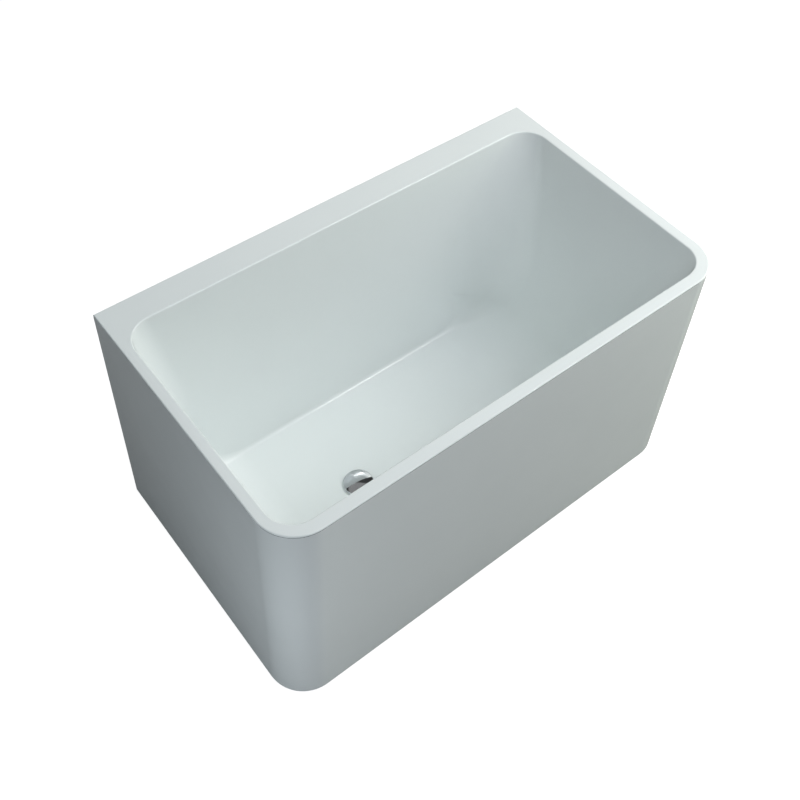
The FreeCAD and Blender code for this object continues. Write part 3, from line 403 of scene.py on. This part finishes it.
# Boards: birch plywood, under the basin floor, under the wide rim and inside the skirt. The faces show long
# grain and the sawn edges show the plies in turn along and across, drawn 2.8 mm thick so that they show.
def birch_plywood(name, through, along):
    """Material of a board from the axis through its thickness and the axis along its grain."""
    plies_per_metre = 357.0
    material, tree, place = start_material(name, IOR=1.45)
    stretch = [110.0, 110.0, 110.0]
    stretch[along] = 5.0
    grain_place = add(tree, "Mapping", {"Vector": place, "Scale": stretch})
    grain = add(tree, "TexNoise", {"Vector": grain_place.outputs[0], "Scale": 1.0, "Detail": 5.0, "Distortion": 0.7})
    veneer = add(tree, "Mix", {0: grain.outputs["Fac"], 6: srgb("E0CCA6"), 7: srgb("B58F5E")}, data_type="RGBA")
    depth = add(tree, "SeparateXYZ", {0: place}).outputs[through]
    ply = add(tree, "Math", {0: depth, 1: plies_per_metre}, operation="MULTIPLY").outputs[0]
    ply = add(tree, "Math", {0: ply, 1: 1.0}, operation="PINGPONG").outputs[0]
    ply = add(tree, "MapRange", {"Value": ply, 1: 0.42, 2: 0.58}).outputs[0]
    fibres = add(tree, "TexNoise", {"Vector": place, "Scale": 900.0, "Detail": 2.0})
    dark = add(tree, "Mix", {0: fibres.outputs["Fac"], 6: srgb("8E6B42"), 7: srgb("B38C5B")}, data_type="RGBA")
    edge = add(tree, "Mix", {0: ply, 6: srgb("D9C199"), 7: dark.outputs[2]}, data_type="RGBA")
    facing = add(tree, "SeparateXYZ", {0: add(tree, "NewGeometry").outputs["Normal"]}).outputs[through]
    facing = add(tree, "Math", {0: facing}, operation="ABSOLUTE").outputs[0]
    flat = add(tree, "MapRange", {"Value": facing, 1: 0.6, 2: 0.7}).outputs[0]
    tint = add(tree, "Mix", {0: flat, 6: edge.outputs[2], 7: veneer.outputs[2]}, data_type="RGBA")
    gloss = add(tree, "MapRange", {"Value": grain.outputs["Fac"], 3: 0.62, 4: 0.85})
    raised = add(tree, "Bump", {"Strength": 0.4, "Distance": 0.0004, "Height": grain.outputs["Fac"]})
    finish_material(tree, tint, gloss, raised)
    return material


dress(birch_plywood("birch plywood, laid flat", 2, 0), "base_board", "deck_batten")
dress(birch_plywood("birch plywood, upright along the front", 1, 0), "front_skirt_batten")
dress(birch_plywood("birch plywood, upright along the ends", 0, 1), "left_skirt_batten", "right_skirt_batten")

# Cradle: square steel tube, 30 mm, cut and welded, then powder coated light grey. The coat has a fine orange
# peel of about 1.5 mm and is a little thicker and glossier in places.
powder, tree, place = start_material("powder coat on steel, grey", IOR=1.52)
peel = add(tree, "TexNoise", {"Vector": place, "Scale": 650.0, "Detail": 2.0})
clouds = add(tree, "TexNoise", {"Vector": place, "Scale": 11.0, "Detail": 4.0})
tint = add(tree, "Mix", {0: clouds.outputs["Fac"], 6: srgb("8A9094"), 7: srgb("989DA1")}, data_type="RGBA")
gloss = add(tree, "MapRange", {"Value": clouds.outputs["Fac"], 1: 0.3, 2: 0.7, 3: 0.34, 4: 0.5})
coat = add(tree, "Bump", {"Strength": 0.35, "Distance": 0.0004, "Height": peel.outputs["Fac"]})
finish_material(tree, tint, gloss, coat)
dress(powder, "front_long_rail", "back_long_rail", "left_cross_rail", "right_cross_rail", "middle_cross_rail",
      "left_post", "right_post")
beads = bmesh.new()


def weld_bead(mesh, start, end, size=0.0022):
    """Bead of overlapping scales, 2.2 mm apart, from one point to another."""
    scale_steps, ring_gap, corners = 4, 0.00055, 10
    start, end = Vector(start), Vector(end)
    along = (end - start).normalized()
    side = along.orthogonal().normalized()
    other = along.cross(side)
    count = max(8, round((end - start).length / ring_gap))
    rings = []
    for step in range(count + 1):
        share = step / count
        scales = 0.72 + 0.28 * abs(math.sin(math.pi * step / scale_steps))
        swell = size * scales * min(1.0, 0.35 + 9 * share, 9.35 - 9 * share)
        middle = start.lerp(end, share)
        rings.append([mesh.verts.new(middle + swell * (math.cos(turn) * side + math.sin(turn) * other))
                      for turn in (2 * math.pi * corner / corners for corner in range(corners))])
    for near, far in zip(rings, rings[1:]):
        bridge(mesh, near, far)
    mesh.faces.new(rings[0])
    mesh.faces.new(rings[-1])


tube_corner, post_corner, plate = 0.004, 0.003, 0.003
for rail in ("front_long_rail", "back_long_rail", "middle_cross_rail"):
    low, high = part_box(rail)
    for x in (low.x, high.x):
        for y in (low.y, high.y):
            weld_bead(beads, (x, y, low.z + tube_corner), (x, y, high.z - tube_corner))
for post in ("left_post", "right_post"):
    low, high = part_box(post)
    middle, reach = (low.x + high.x) / 2, 0.0125
    near, far = low.y + post_corner, high.y - post_corner
    for sign in (-1, 1):
        x, y = middle + sign * reach, (low.y, high.y)[sign > 0]
        weld_bead(beads, (x, near, low.z), (x, far, low.z))
        weld_bead(beads, (middle - reach + post_corner, y, low.z), (middle + reach - post_corner, y, low.z))
        weld_bead(beads, (x, near, high.z - plate), (x, far, high.z - plate), 0.0018)
make_piece("cradle_weld_beads", beads, powder, "tub", "coated_steel")

# End caps: black polyethylene inserts pushed into the open tube ends, with the dull fine grain that a spark
# eroded mould leaves.
polyethylene, tree, place = start_material("polyethylene, moulded black", IOR=1.51)
grain = add(tree, "TexNoise", {"Vector": place, "Scale": 1500.0, "Detail": 2.0})
scuffs = add(tree, "TexNoise", {"Vector": place, "Scale": 60.0, "Detail": 6.0})
tint = add(tree, "Mix", {0: scuffs.outputs["Fac"], 6: srgb("1E1F20"), 7: srgb("2C2D2F")}, data_type="RGBA")
gloss = add(tree, "MapRange", {"Value": scuffs.outputs["Fac"], 1: 0.35, 2: 0.7, 3: 0.42, 4: 0.62})
eroded = add(tree, "Bump", {"Strength": 0.4, "Distance": 0.0002, "Height": grain.outputs["Fac"]})
finish_material(tree, tint, gloss, eroded)
dress(polyethylene, "left_front_end_cap", "right_front_end_cap", "left_back_end_cap", "right_back_end_cap")

# Brackets: steel angles, bent and bright zinc plated. The plating is silvery with faint cloudy patches and
# the fine scratches of barrel plating.
zinc, tree, place = start_material("zinc plate on steel, bright", Metallic=1.0)
patches = add(tree, "TexNoise", {"Vector": place, "Scale": 45.0, "Detail": 5.0})
scratched = add(tree, "Mapping", {"Vector": place, "Rotation": (0.5, 0.9, 0.3), "Scale": (120.0, 2600.0, 2600.0)})
scratches = add(tree, "TexNoise", {"Vector": scratched.outputs[0], "Scale": 1.0, "Detail": 3.0})
tint = add(tree, "Mix", {0: patches.outputs["Fac"], 6: srgb("B4B8BD"), 7: srgb("CBCDCC")}, data_type="RGBA")
gloss = add(tree, "MapRange", {"Value": patches.outputs["Fac"], 1: 0.3, 2: 0.7, 3: 0.24, 4: 0.42})
rubbed = add(tree, "Bump", {"Strength": 0.18, "Distance": 0.0001, "Height": scratches.outputs["Fac"]})
finish_material(tree, tint, gloss, rubbed)
dress(zinc, "left_bracket", "right_bracket", "front_left_bracket", "front_right_bracket", "front_middle_bracket")


# Screws: self-tapping, zinc plated, with hexagon heads whose corners are turned off. They hold the brackets
# to rails and battens, the board to the rails, and the posts to the batten under the wide rim.
def hexagon_ring(flats, low, high, bore=0.0, steps=48):
    """Rings of points of a hexagon with its corners turned off at both ends, round a countersunk bore."""
    slope, washer, sink = math.tan(math.radians(30)), 0.475 * flats, 0.0006
    rings = []
    for kind in range(4):
        ring = []
        for step in range(steps):
            turn = 2 * math.pi * step / steps
            corner = flats / 2 / math.cos((turn + math.pi / 6) % (math.pi / 3) - math.pi / 6)
            reach = washer if kind in (0, 3) else corner
            fall = slope * (reach - washer)
            level = low + fall if kind < 2 else high - fall
            ring.append(Vector((reach * math.cos(turn), reach * math.sin(turn), level)))
        rings.append(ring)
    if bore:
        for radius, level in ((bore + sink, high), (bore, high - sink), (bore, low + sink), (bore + sink, low)):
            rings.append(circle_of(radius, level, steps))
        rings.append(rings[0])
    return rings


def circle_of(radius, level, steps):
    turns = [2 * math.pi * step / steps for step in range(steps)]
    return [Vector((radius * math.cos(turn), radius * math.sin(turn), level)) for turn in turns]


def skin_rings(mesh, rings, place):
    """Joins rings of points into a skin; the ends are closed unless the last ring is the first."""
    made = []
    for ring in rings:
        same = ring is rings[0] and made
        made.append(made[0] if same else [mesh.verts.new(place @ Vector(point)) for point in ring])
    for near, far in zip(made, made[1:]):
        bridge(mesh, near, far)
    if made[0] is not made[-1]:
        mesh.faces.new(made[0])
        mesh.faces.new(made[-1])


screw_flats, screw_head, screw_shank, screw_pitch = 0.008, 0.004, 0.0024, 0.0012


def drive_screws(name, node):
    """One screw for each solid of the node; the head is the wide end of its box."""
    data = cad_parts[node].data
    parts = bmesh.new()
    parts.from_mesh(data)
    bmesh.ops.remove_doubles(parts, verts=parts.verts, dist=1e-6)
    seen, mesh = set(), bmesh.new()
    for vert in parts.verts:
        if vert in seen:
            continue
        group, queue = [], [vert]
        seen.add(vert)
        while queue:
            spot = queue.pop()
            group.append(spot.co)
            for edge in spot.link_edges:
                onward = edge.other_vert(spot)
                if onward not in seen:
                    seen.add(onward)
                    queue.append(onward)
        low = Vector([min(point[axis] for point in group) for axis in range(3)])
        high = Vector([max(point[axis] for point in group) for axis in range(3)])
        size = high - low
        axis = max(range(3), key=lambda index: size[index])
        middle = (low + high) / 2
        heading = Vector([0.0] * 3)
        heading[axis] = 1.0
        wide = [point[axis] for point in group
                if (point - middle - (point - middle).dot(heading) * heading).length > 1.3 * screw_shank]
        if sum(wide) / len(wide) >= middle[axis]:
            heading[axis] = -1.0
        top = middle.copy()
        top[axis] = low[axis] if heading[axis] > 0 else high[axis]
        place = Matrix.Translation(top) @ heading.to_track_quat("Z", "Y").to_matrix().to_4x4()
        skin_rings(mesh, hexagon_ring(screw_flats, 0.0, screw_head), place)
        length, plain_end, root = size[axis], 0.002, 0.74 * screw_shank
        profile = [(screw_shank, screw_head - 0.0002)]
        for turn in range(int((length - screw_head - 2 * plain_end) / screw_pitch)):
            level = screw_head + plain_end + screw_pitch * turn
            profile += [(screw_shank, level), (screw_shank, level + 0.0002), (root, level + 0.0005),
                        (root, level + 0.0008)]
        profile += [(screw_shank, length - plain_end), (0.0008, length)]
        skin_rings(mesh, [circle_of(radius, level, 16) for radius, level in profile], place)
    parts.free()
    make_piece(name, mesh, zinc, "tub", "zinc_steel", node)


drive_screws("hex_head_bracket_screws", "bracket_screws")
drive_screws("hex_head_board_screws", "board_screws")
drive_screws("hex_head_post_screws", "post_screws")


# Levelling feet: an M12 stud with rolled thread turns in the nut welded under the rail, a lock nut holds it,
# and its collar turns in the socket of a moulded elastomer pad.
def helical_thread(mesh, spot, radius, pitch, depth, low, high, bore=0.0, chamfer=0.0):
    """Rod or tube with a right-hand thread cut off square at both ends."""
    columns, bore_steps = 30, 60
    profile = ((0.0, 0), (0.125, 0), (0.4375, 1), (0.6875, 1))
    thread = bmesh.new()
    rows = [(turn + share, cut) for turn in range(math.ceil((high - low) / pitch) + 3) for share, cut in profile]
    grid = []
    for share, cut in rows:
        line = []
        for column in range(columns):
            turn, level = 2 * math.pi * column / columns, low + pitch * (share + column / columns - 2)
            reach = radius - cut * depth
            if chamfer:
                reach = min(reach, radius - level + high - chamfer)
            line.append(thread.verts.new((reach * math.cos(turn), reach * math.sin(turn), level)))
        grid.append(line)
    period = len(profile)
    for row, (near, far) in enumerate(zip(grid, grid[1:])):
        for column in range(columns - 1):
            thread.faces.new((near[column], near[column + 1], far[column + 1], far[column]))
        if row + period + 1 < len(grid):
            thread.faces.new((near[-1], grid[row + period][0], grid[row + period + 1][0], far[-1]))
    for level, way in ((low, -1), (high, 1)):
        bmesh.ops.bisect_plane(thread, geom=[*thread.verts, *thread.edges, *thread.faces], plane_co=(0, 0, level),
                               plane_no=(0, 0, way), clear_outer=True, dist=1e-8)
    bmesh.ops.remove_doubles(thread, verts=thread.verts, dist=1e-7)
    for level in (low, high):
        rim = [edge for edge in thread.edges
               if edge.is_boundary and all(abs(vert.co.z - level) < 1e-6 for vert in edge.verts)]
        if bore:
            hole = ring_of(thread, circle_of(bore, level, bore_steps))
            rim += [thread.edges.new(pair) for pair in zip(hole, hole[1:] + hole[:1])]
        bmesh.ops.triangle_fill(thread, edges=rim, use_beauty=True, normal=(0, 0, 1))
    if bore:
        skin = [sorted((vert for vert in thread.verts if abs(vert.co.z - level) < 1e-6
                        and abs(vert.co.xy.length - bore) < 1e-7), key=lambda vert: math.atan2(vert.co.y, vert.co.x))
                for level in (low, high)]
        bridge(thread, skin[0], skin[1])
    bmesh.ops.translate(thread, verts=thread.verts, vec=spot)
    data = bpy.data.meshes.new("thread")
    thread.to_mesh(data)
    thread.free()
    mesh.from_mesh(data)
    bpy.data.meshes.remove(data)


def turned_ring(mesh, spot, corners, steps=72):
    """Turns a closed outline of (radius, height, round) corners about an upright axis."""
    round_steps = 5
    outline = []
    for index, (radius, height, size) in enumerate(corners):
        here = Vector((radius, height))
        if not size:
            outline.append(here)
            continue
        before, after = Vector(corners[index - 1][:2]), Vector(corners[(index + 1) % len(corners)][:2])
        back, ahead = (before - here).normalized(), (after - here).normalized()
        trim = size / math.tan(back.angle(ahead) / 2)
        centre = here + (back + ahead).normalized() * math.hypot(trim, size)
        first, last = here + back * trim - centre, here + ahead * trim - centre
        for step in range(round_steps + 1):
            outline.append(centre + size * first.slerp(last, step / round_steps))
    rings = [circle_of(point.x, point.y, steps) for point in outline]
    if min(point.x for point in outline) > 1e-6:
        rings.append(rings[0])
    skin_rings(mesh, rings, Matrix.Translation(spot))


elastomer, tree, place = start_material("elastomer, moulded black", IOR=1.5)
grain = add(tree, "TexNoise", {"Vector": place, "Scale": 900.0, "Detail": 3.0})
dust = add(tree, "TexNoise", {"Vector": place, "Scale": 35.0, "Detail": 6.0})
tint = add(tree, "Mix", {0: dust.outputs["Fac"], 6: srgb("1B1B1C"), 7: srgb("343536")}, data_type="RGBA")
gloss = add(tree, "MapRange", {"Value": dust.outputs["Fac"], 1: 0.3, 2: 0.7, 3: 0.55, 4: 0.78})
moulded = add(tree, "Bump", {"Strength": 0.45, "Distance": 0.0003, "Height": grain.outputs["Fac"]})
finish_material(tree, tint, gloss, moulded)
stud_radius, stud_pitch, stud_groove, stud_bottom, stud_top = 0.006, 0.00175, 0.00107, 0.0078, 0.065
stud_flats, nut_flats, nut_bore = 0.014, 0.019, 0.00605
for corner in ("front_left", "front_right", "back_left", "back_right", "middle"):
    low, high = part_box(corner + "_foot_stud")
    spot = Vector(((low.x + high.x) / 2, (low.y + high.y) / 2, 0.0))
    pad = bmesh.new()
    turned_ring(pad, spot, [(1e-6, 0.0, 0), (0.025, 0.0, 0.0008), (0.025, 0.004, 0.0012), (0.0222, 0.0062, 0.0005),
                            (0.0222, 0.0067, 0.0004), (0.0206, 0.0075, 0.0008), (0.015, 0.012, 0.0015),
                            (0.0063, 0.012, 0.0004), (0.0063, 0.0083, 0), (0.0093, 0.0083, 0), (0.0093, 0.0037, 0),
                            (1e-6, 0.0037, 0)])
    make_piece(corner + "_elastomer_pad", pad, elastomer, corner + "_foot", "foot_plastic", corner + "_foot_pad")
    stud = bmesh.new()
    helical_thread(stud, spot, stud_radius, stud_pitch, stud_groove, stud_bottom, stud_top, chamfer=0.0012)
    turned_ring(stud, spot, [(1e-6, 0.004, 0), (0.009, 0.004, 0.0004), (0.009, 0.008, 0.0004), (1e-6, 0.008, 0)])
    skin_rings(stud, hexagon_ring(stud_flats, 0.0123, 0.0183), Matrix.Translation(spot))
    make_piece(corner + "_threaded_stud", stud, zinc, corner + "_stud", "zinc_steel", corner + "_foot_stud")
    for nut in ("lock_nut", "weld_nut"):
        low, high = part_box("%s_%s" % (corner, nut))
        mesh = bmesh.new()
        skin_rings(mesh, hexagon_ring(nut_flats, low.z, high.z, nut_bore), Matrix.Translation(spot))
        if nut == "weld_nut":
            for turn in (0.52, 2.62, 4.71):
                side = Vector((math.cos(turn), math.sin(turn), 0.0))
                edge = spot + nut_flats / 2 * side + Vector((0, 0, high.z - 0.0003))
                across = Vector((-side.y, side.x, 0.0)) * 0.0042
                weld_bead(mesh, edge - across, edge + across, 0.0016)
        make_piece("%s_chamfered_%s" % (corner, nut), mesh, zinc, "tub", "zinc_steel", "%s_%s" % (corner, nut))

# Waste: chrome plated brass. The flange sits in the basin floor on a rubber ring, its tail goes down through
# the floor with a fine thread for the back nut, and two crossed bars with a hub inside carry the latch.
chrome, tree, place = start_material("chrome plate on brass, polished", Metallic=1.0)
smears = add(tree, "TexNoise", {"Vector": place, "Scale": 70.0, "Detail": 5.0})
buffing = add(tree, "TexNoise", {"Vector": place, "Scale": 420.0, "Detail": 2.0})
tint = add(tree, "Mix", {0: smears.outputs["Fac"], 6: srgb("C0C3C5"), 7: srgb("CCCECF")}, data_type="RGBA")
gloss = add(tree, "MapRange", {"Value": smears.outputs["Fac"], 1: 0.35, 2: 0.7, 3: 0.035, 4: 0.10})
buffed = add(tree, "Bump", {"Strength": 0.05, "Distance": 0.0001, "Height": buffing.outputs["Fac"]})
finish_material(tree, tint, gloss, buffed)
low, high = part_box("popup_cap")
waste_spot = Vector(((low.x + high.x) / 2, (low.y + high.y) / 2, 0.0))
waste = bmesh.new()
flange, tail, bore, seat, waste_top, waste_end = 0.035, 0.0239, 0.0205, 0.1015, 0.104, 0.040
turned_ring(waste, waste_spot, [(flange, seat, 0.0003), (flange, waste_top, 0.0012), (0.024, waste_top, 0.0006),
                                (bore, 0.1005, 0.0010), (bore, waste_end, 0.0004), (tail, waste_end, 0.0005),
                                (tail, 0.068, 0.0003), (0.0232, 0.068, 0), (0.0232, 0.070, 0), (0.0226, 0.070, 0),
                                (0.0226, seat, 0)], 96)
helical_thread(waste, waste_spot, tail, 0.0023, 0.0012, 0.0702, 0.0940, bore=0.0210)
hub, hub_low, hub_high = 0.009, 0.050, 0.056
turned_ring(waste, waste_spot, [(1e-6, hub_low, 0), (hub, hub_low, 0.0004), (hub, hub_high, 0.0004),
                                (1e-6, hub_high, 0)])
for turn in (0.0, math.pi / 2):
    bar = Matrix.Translation(waste_spot + Vector((0, 0, 0.053))) @ Matrix.Rotation(turn, 4, "Z")
    bmesh.ops.create_cube(waste, size=1.0, matrix=bar @ Matrix.Diagonal((0.0440, 0.004, 0.006, 1)))
make_piece("chromed_waste_body", waste, chrome, "tub", "chrome_plate", "waste_body")

# Pop-up cap: pressed brass, chrome plated and polished, slightly domed, with a rolled edge.
cap = bmesh.new()
cap_top, cap_dome, cap_edge, cap_end, cap_under = 0.1094, 0.0036, 0.038, 0.1012, 0.106
crown = [(0.001 * radius, cap_top - cap_dome * (radius / 38) ** 2, 0)
         for radius in (1e-3, 1, 2, 4, 6, 9, 12, 15, 18, 21, 24, 27, 30, 33)]
turned_ring(cap, waste_spot, crown + [(cap_edge, cap_top - cap_dome, 0.0021), (cap_edge, cap_end, 0.0018),
                                      (0.0354, cap_end, 0.0004), (0.0354, 0.1043, 0.0003),
                                      (0.0306, cap_under, 0.0003), (1e-6, cap_under, 0)], 128)
make_piece("chrome_cap", cap, chrome, "plug", "chrome_plate", "popup_cap")

# Rubber rings: moulded black seals under the flange, under the floor and round the plug.
rubber, tree, place = start_material("rubber, moulded black", IOR=1.52)
bloom = add(tree, "TexNoise", {"Vector": place, "Scale": 120.0, "Detail": 4.0})
tint = add(tree, "Mix", {0: bloom.outputs["Fac"], 6: srgb("202122"), 7: srgb("313334")}, data_type="RGBA")
gloss = add(tree, "MapRange", {"Value": bloom.outputs["Fac"], 3: 0.5, 4: 0.72})
soft = add(tree, "Bump", {"Strength": 0.25, "Distance": 0.0002, "Height": bloom.outputs["Fac"]})
finish_material(tree, tint, gloss, soft)
dress(rubber, "waste_top_gasket", "waste_bottom_gasket", "plug_seal")

# Slip washer: white nylon, cut from sheet, between the rubber ring and the back nut.
nylon, tree, place = start_material("nylon, cut from sheet", IOR=1.53)
mottle = add(tree, "TexNoise", {"Vector": place, "Scale": 180.0, "Detail": 3.0})
tint = add(tree, "Mix", {0: mottle.outputs["Fac"], 6: srgb("DEDCD2"), 7: srgb("ECEBE4")}, data_type="RGBA")
gloss = add(tree, "MapRange", {"Value": mottle.outputs["Fac"], 3: 0.4, 4: 0.6})
sawn = add(tree, "Bump", {"Strength": 0.2, "Distance": 0.0002, "Height": mottle.outputs["Fac"]})
finish_material(tree, tint, gloss, sawn)
dress(nylon, "waste_slip_washer")

# Back nut, latch and stem: turned brass, with the fine rings that the tool leaves, slightly tarnished.
brass, tree, place = start_material("brass, turned", Metallic=1.0)
middle = add(tree, "Mapping", {"Vector": place, "Location": -waste_spot})
rings = add(tree, "TexWave", {"Vector": middle.outputs[0], "Scale": 550.0, "Distortion": 0.6, "Detail": 1.0},
            wave_type="RINGS", rings_direction="Z")
tarnish = add(tree, "TexNoise", {"Vector": place, "Scale": 55.0, "Detail": 5.0})
tint = add(tree, "Mix", {0: tarnish.outputs["Fac"], 6: srgb("C9A35E"), 7: srgb("A98247")}, data_type="RGBA")
gloss = add(tree, "MapRange", {"Value": tarnish.outputs["Fac"], 1: 0.3, 2: 0.7, 3: 0.2, 4: 0.42})
tooled = add(tree, "Bump", {"Strength": 0.2, "Distance": 0.00015, "Height": rings.outputs["Fac"]})
finish_material(tree, tint, gloss, tooled)
low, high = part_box("waste_back_nut")
back_nut_flats, back_nut_bore = 0.062, 0.02395
nut = bmesh.new()
skin_rings(nut, hexagon_ring(back_nut_flats, low.z, high.z, back_nut_bore, 96), Matrix.Translation(waste_spot))
make_piece("brass_back_nut", nut, brass, "tub", "brass", "waste_back_nut")
dress(brass, "latch_cartridge", "plug_stem")

# Latch spring: stainless wire with drawing lines along it, closed inside the latch.
wire, tree, place = start_material("stainless spring wire, drawn", Metallic=1.0)
drawn = add(tree, "TexNoise", {"Vector": place, "Scale": 2200.0, "Detail": 2.0})
tint = add(tree, "Mix", {0: drawn.outputs["Fac"], 6: srgb("AEB1B3"), 7: srgb("C2C4C5")}, data_type="RGBA")
gloss = add(tree, "MapRange", {"Value": drawn.outputs["Fac"], 3: 0.22, 4: 0.38})
lines = add(tree, "Bump", {"Strength": 0.15, "Distance": 0.00005, "Height": drawn.outputs["Fac"]})
finish_material(tree, tint, gloss, lines)
dress(wire, "latch_spring")

# Floor: plain white studio paper. The camera sees it lit through from behind, so it stays evenly pale, while
# it throws no more light on the tub than grey paper would.
floor_data, half = bpy.data.meshes.new("studio_floor"), 12
floor_data.from_pydata([(-half, -half, 0), (half, -half, 0), (half, half, 0), (-half, half, 0)], [], [(0, 1, 2, 3)])
studio_floor = bpy.data.objects.new("studio_floor", floor_data)
bpy.context.scene.collection.objects.link(studio_floor)
paper, tree, _ = start_material("studio paper, matt white", Base_Color=srgb("959595"), Roughness=0.9)
paper_glow = add(tree, "Math", {0: add(tree, "LightPath").outputs["Is Camera Ray"], 1: 0.92}, operation="MULTIPLY")
tree.nodes["Principled BSDF"].inputs["Emission Color"].default_value = srgb("FFFFFF")
tree.links.new(paper_glow.outputs[0], tree.nodes["Principled BSDF"].inputs["Emission Strength"])
floor_data.materials.append(paper)

# Light: soft sheets. The strongest stand far beyond the backrest end and high in front, a long thin one near
# the backrest's front corner draws the line along the crease, weak ones fill from the other sides, and a dim
# one overhead shows in the chrome. The sky is almost dark, but the camera itself sees it as white paper.
world = bpy.data.worlds.new("studio sky")
bpy.context.scene.world = world
world.use_nodes = True
world.node_tree.nodes["Background"].inputs["Color"].default_value = srgb("FFFFFF")
seen_sky = add(world.node_tree, "MapRange", {"Value": add(world.node_tree, "LightPath").outputs["Is Camera Ray"],
                                             3: 0.06, 4: 1.0})
world.node_tree.links.new(seen_sky.outputs[0], world.node_tree.nodes["Background"].inputs["Strength"])
bpy.context.scene.view_settings.view_transform = "Standard"


def soft_light(name, spot, size, watts, tone, depth=None, aim=(0.0, 0.0, 0.4)):
    """Rectangular sheet of light turned to the point it aims at, square unless it has a depth."""
    data = bpy.data.lights.new(name, "AREA")
    data.shape = "RECTANGLE"
    data.size, data.size_y = size, depth or size
    data.energy = watts
    data.color = srgb(tone)[:3]
    lamp = bpy.data.objects.new(name, data)
    bpy.context.scene.collection.objects.link(lamp)
    lamp.location = spot
    lamp.rotation_euler = (Vector(aim) - Vector(spot)).to_track_quat("-Z", "Y").to_euler()


soft_light("backrest_end_far", (3.4, -0.8, 3.3), 2.4, 74.0, "FBFFFC")
soft_light("backrest_end_high", (2.0, -0.5, 2.1), 1.2, 5.5, "FFF4EC")
soft_light("front_right_key", (1.25, -1.0, 2.6), 0.85, 14.5, "FFFFFF", 0.24, (1.25, 0.25, 0.1))
soft_light("front_right_low", (2.1, -1.0, 0.8), 1.0, 10.3, "F4FFE8")
soft_light("front_high", (0.3, -2.4, 3.7), 2.1, 42.0, "F0F6FF")
soft_light("drain_end_high", (-1.82, 0.28, 3.48), 2.0, 20.0, "F0FCFF")
soft_light("drain_end", (-2.3, -0.9, 1.1), 1.2, 0.8, "D0DAFF")
soft_light("front_corner_low", (-1.25, -0.70, 0.4), 0.35, 2.1, "F0F9FF", None, (-0.6, -0.35, 0.35))
soft_light("wall_side_low", (0.0, 2.2, 1.0), 1.2, 8.0, "FFFFFF")
soft_light("overhead_dim", (0.30, 0.385, 2.55), 1.5, 2.0, "FFFFFF")

# Camera: high over the front left, at the photograph's viewing angle. The focal length and the point that the
# lens looks at are in pixels of the photograph, which is 800 pixels wide and high.
FRAME_PIXELS, FOCAL_PIXELS, LOOK_X, LOOK_Y, FILM_WIDTH = 800, 1103.30, 413.226, 277.256, 36.0
TURN, LIFT, ROLL = math.radians(-41.4867), math.radians(46.7831), math.radians(3.8104)
backward = Vector((math.sin(TURN) * math.cos(LIFT), -math.cos(TURN) * math.cos(LIFT), math.sin(LIFT)))
rightward = Vector((math.cos(TURN), math.sin(TURN), 0.0))
upward = backward.cross(rightward)
view = Matrix((rightward, upward, backward)).transposed().to_4x4() @ Matrix.Rotation(ROLL, 4, "Z")
camera_data = bpy.data.cameras.new("photo_view")
camera = bpy.data.objects.new("photo_view", camera_data)
bpy.context.scene.collection.objects.link(camera)
camera.matrix_world = Matrix.Translation((-1.0889, -1.2017, 2.4350)) @ view
camera_data.sensor_width = FILM_WIDTH
camera_data.lens = FOCAL_PIXELS / FRAME_PIXELS * FILM_WIDTH
camera_data.shift_x = (FRAME_PIXELS / 2 - LOOK_X) / FRAME_PIXELS
camera_data.shift_y = (LOOK_Y - FRAME_PIXELS / 2) / FRAME_PIXELS
camera_data.clip_start, camera_data.clip_end = 0.05, 60.0
bpy.context.scene.camera = camera

bpy.context.view_layer.update()
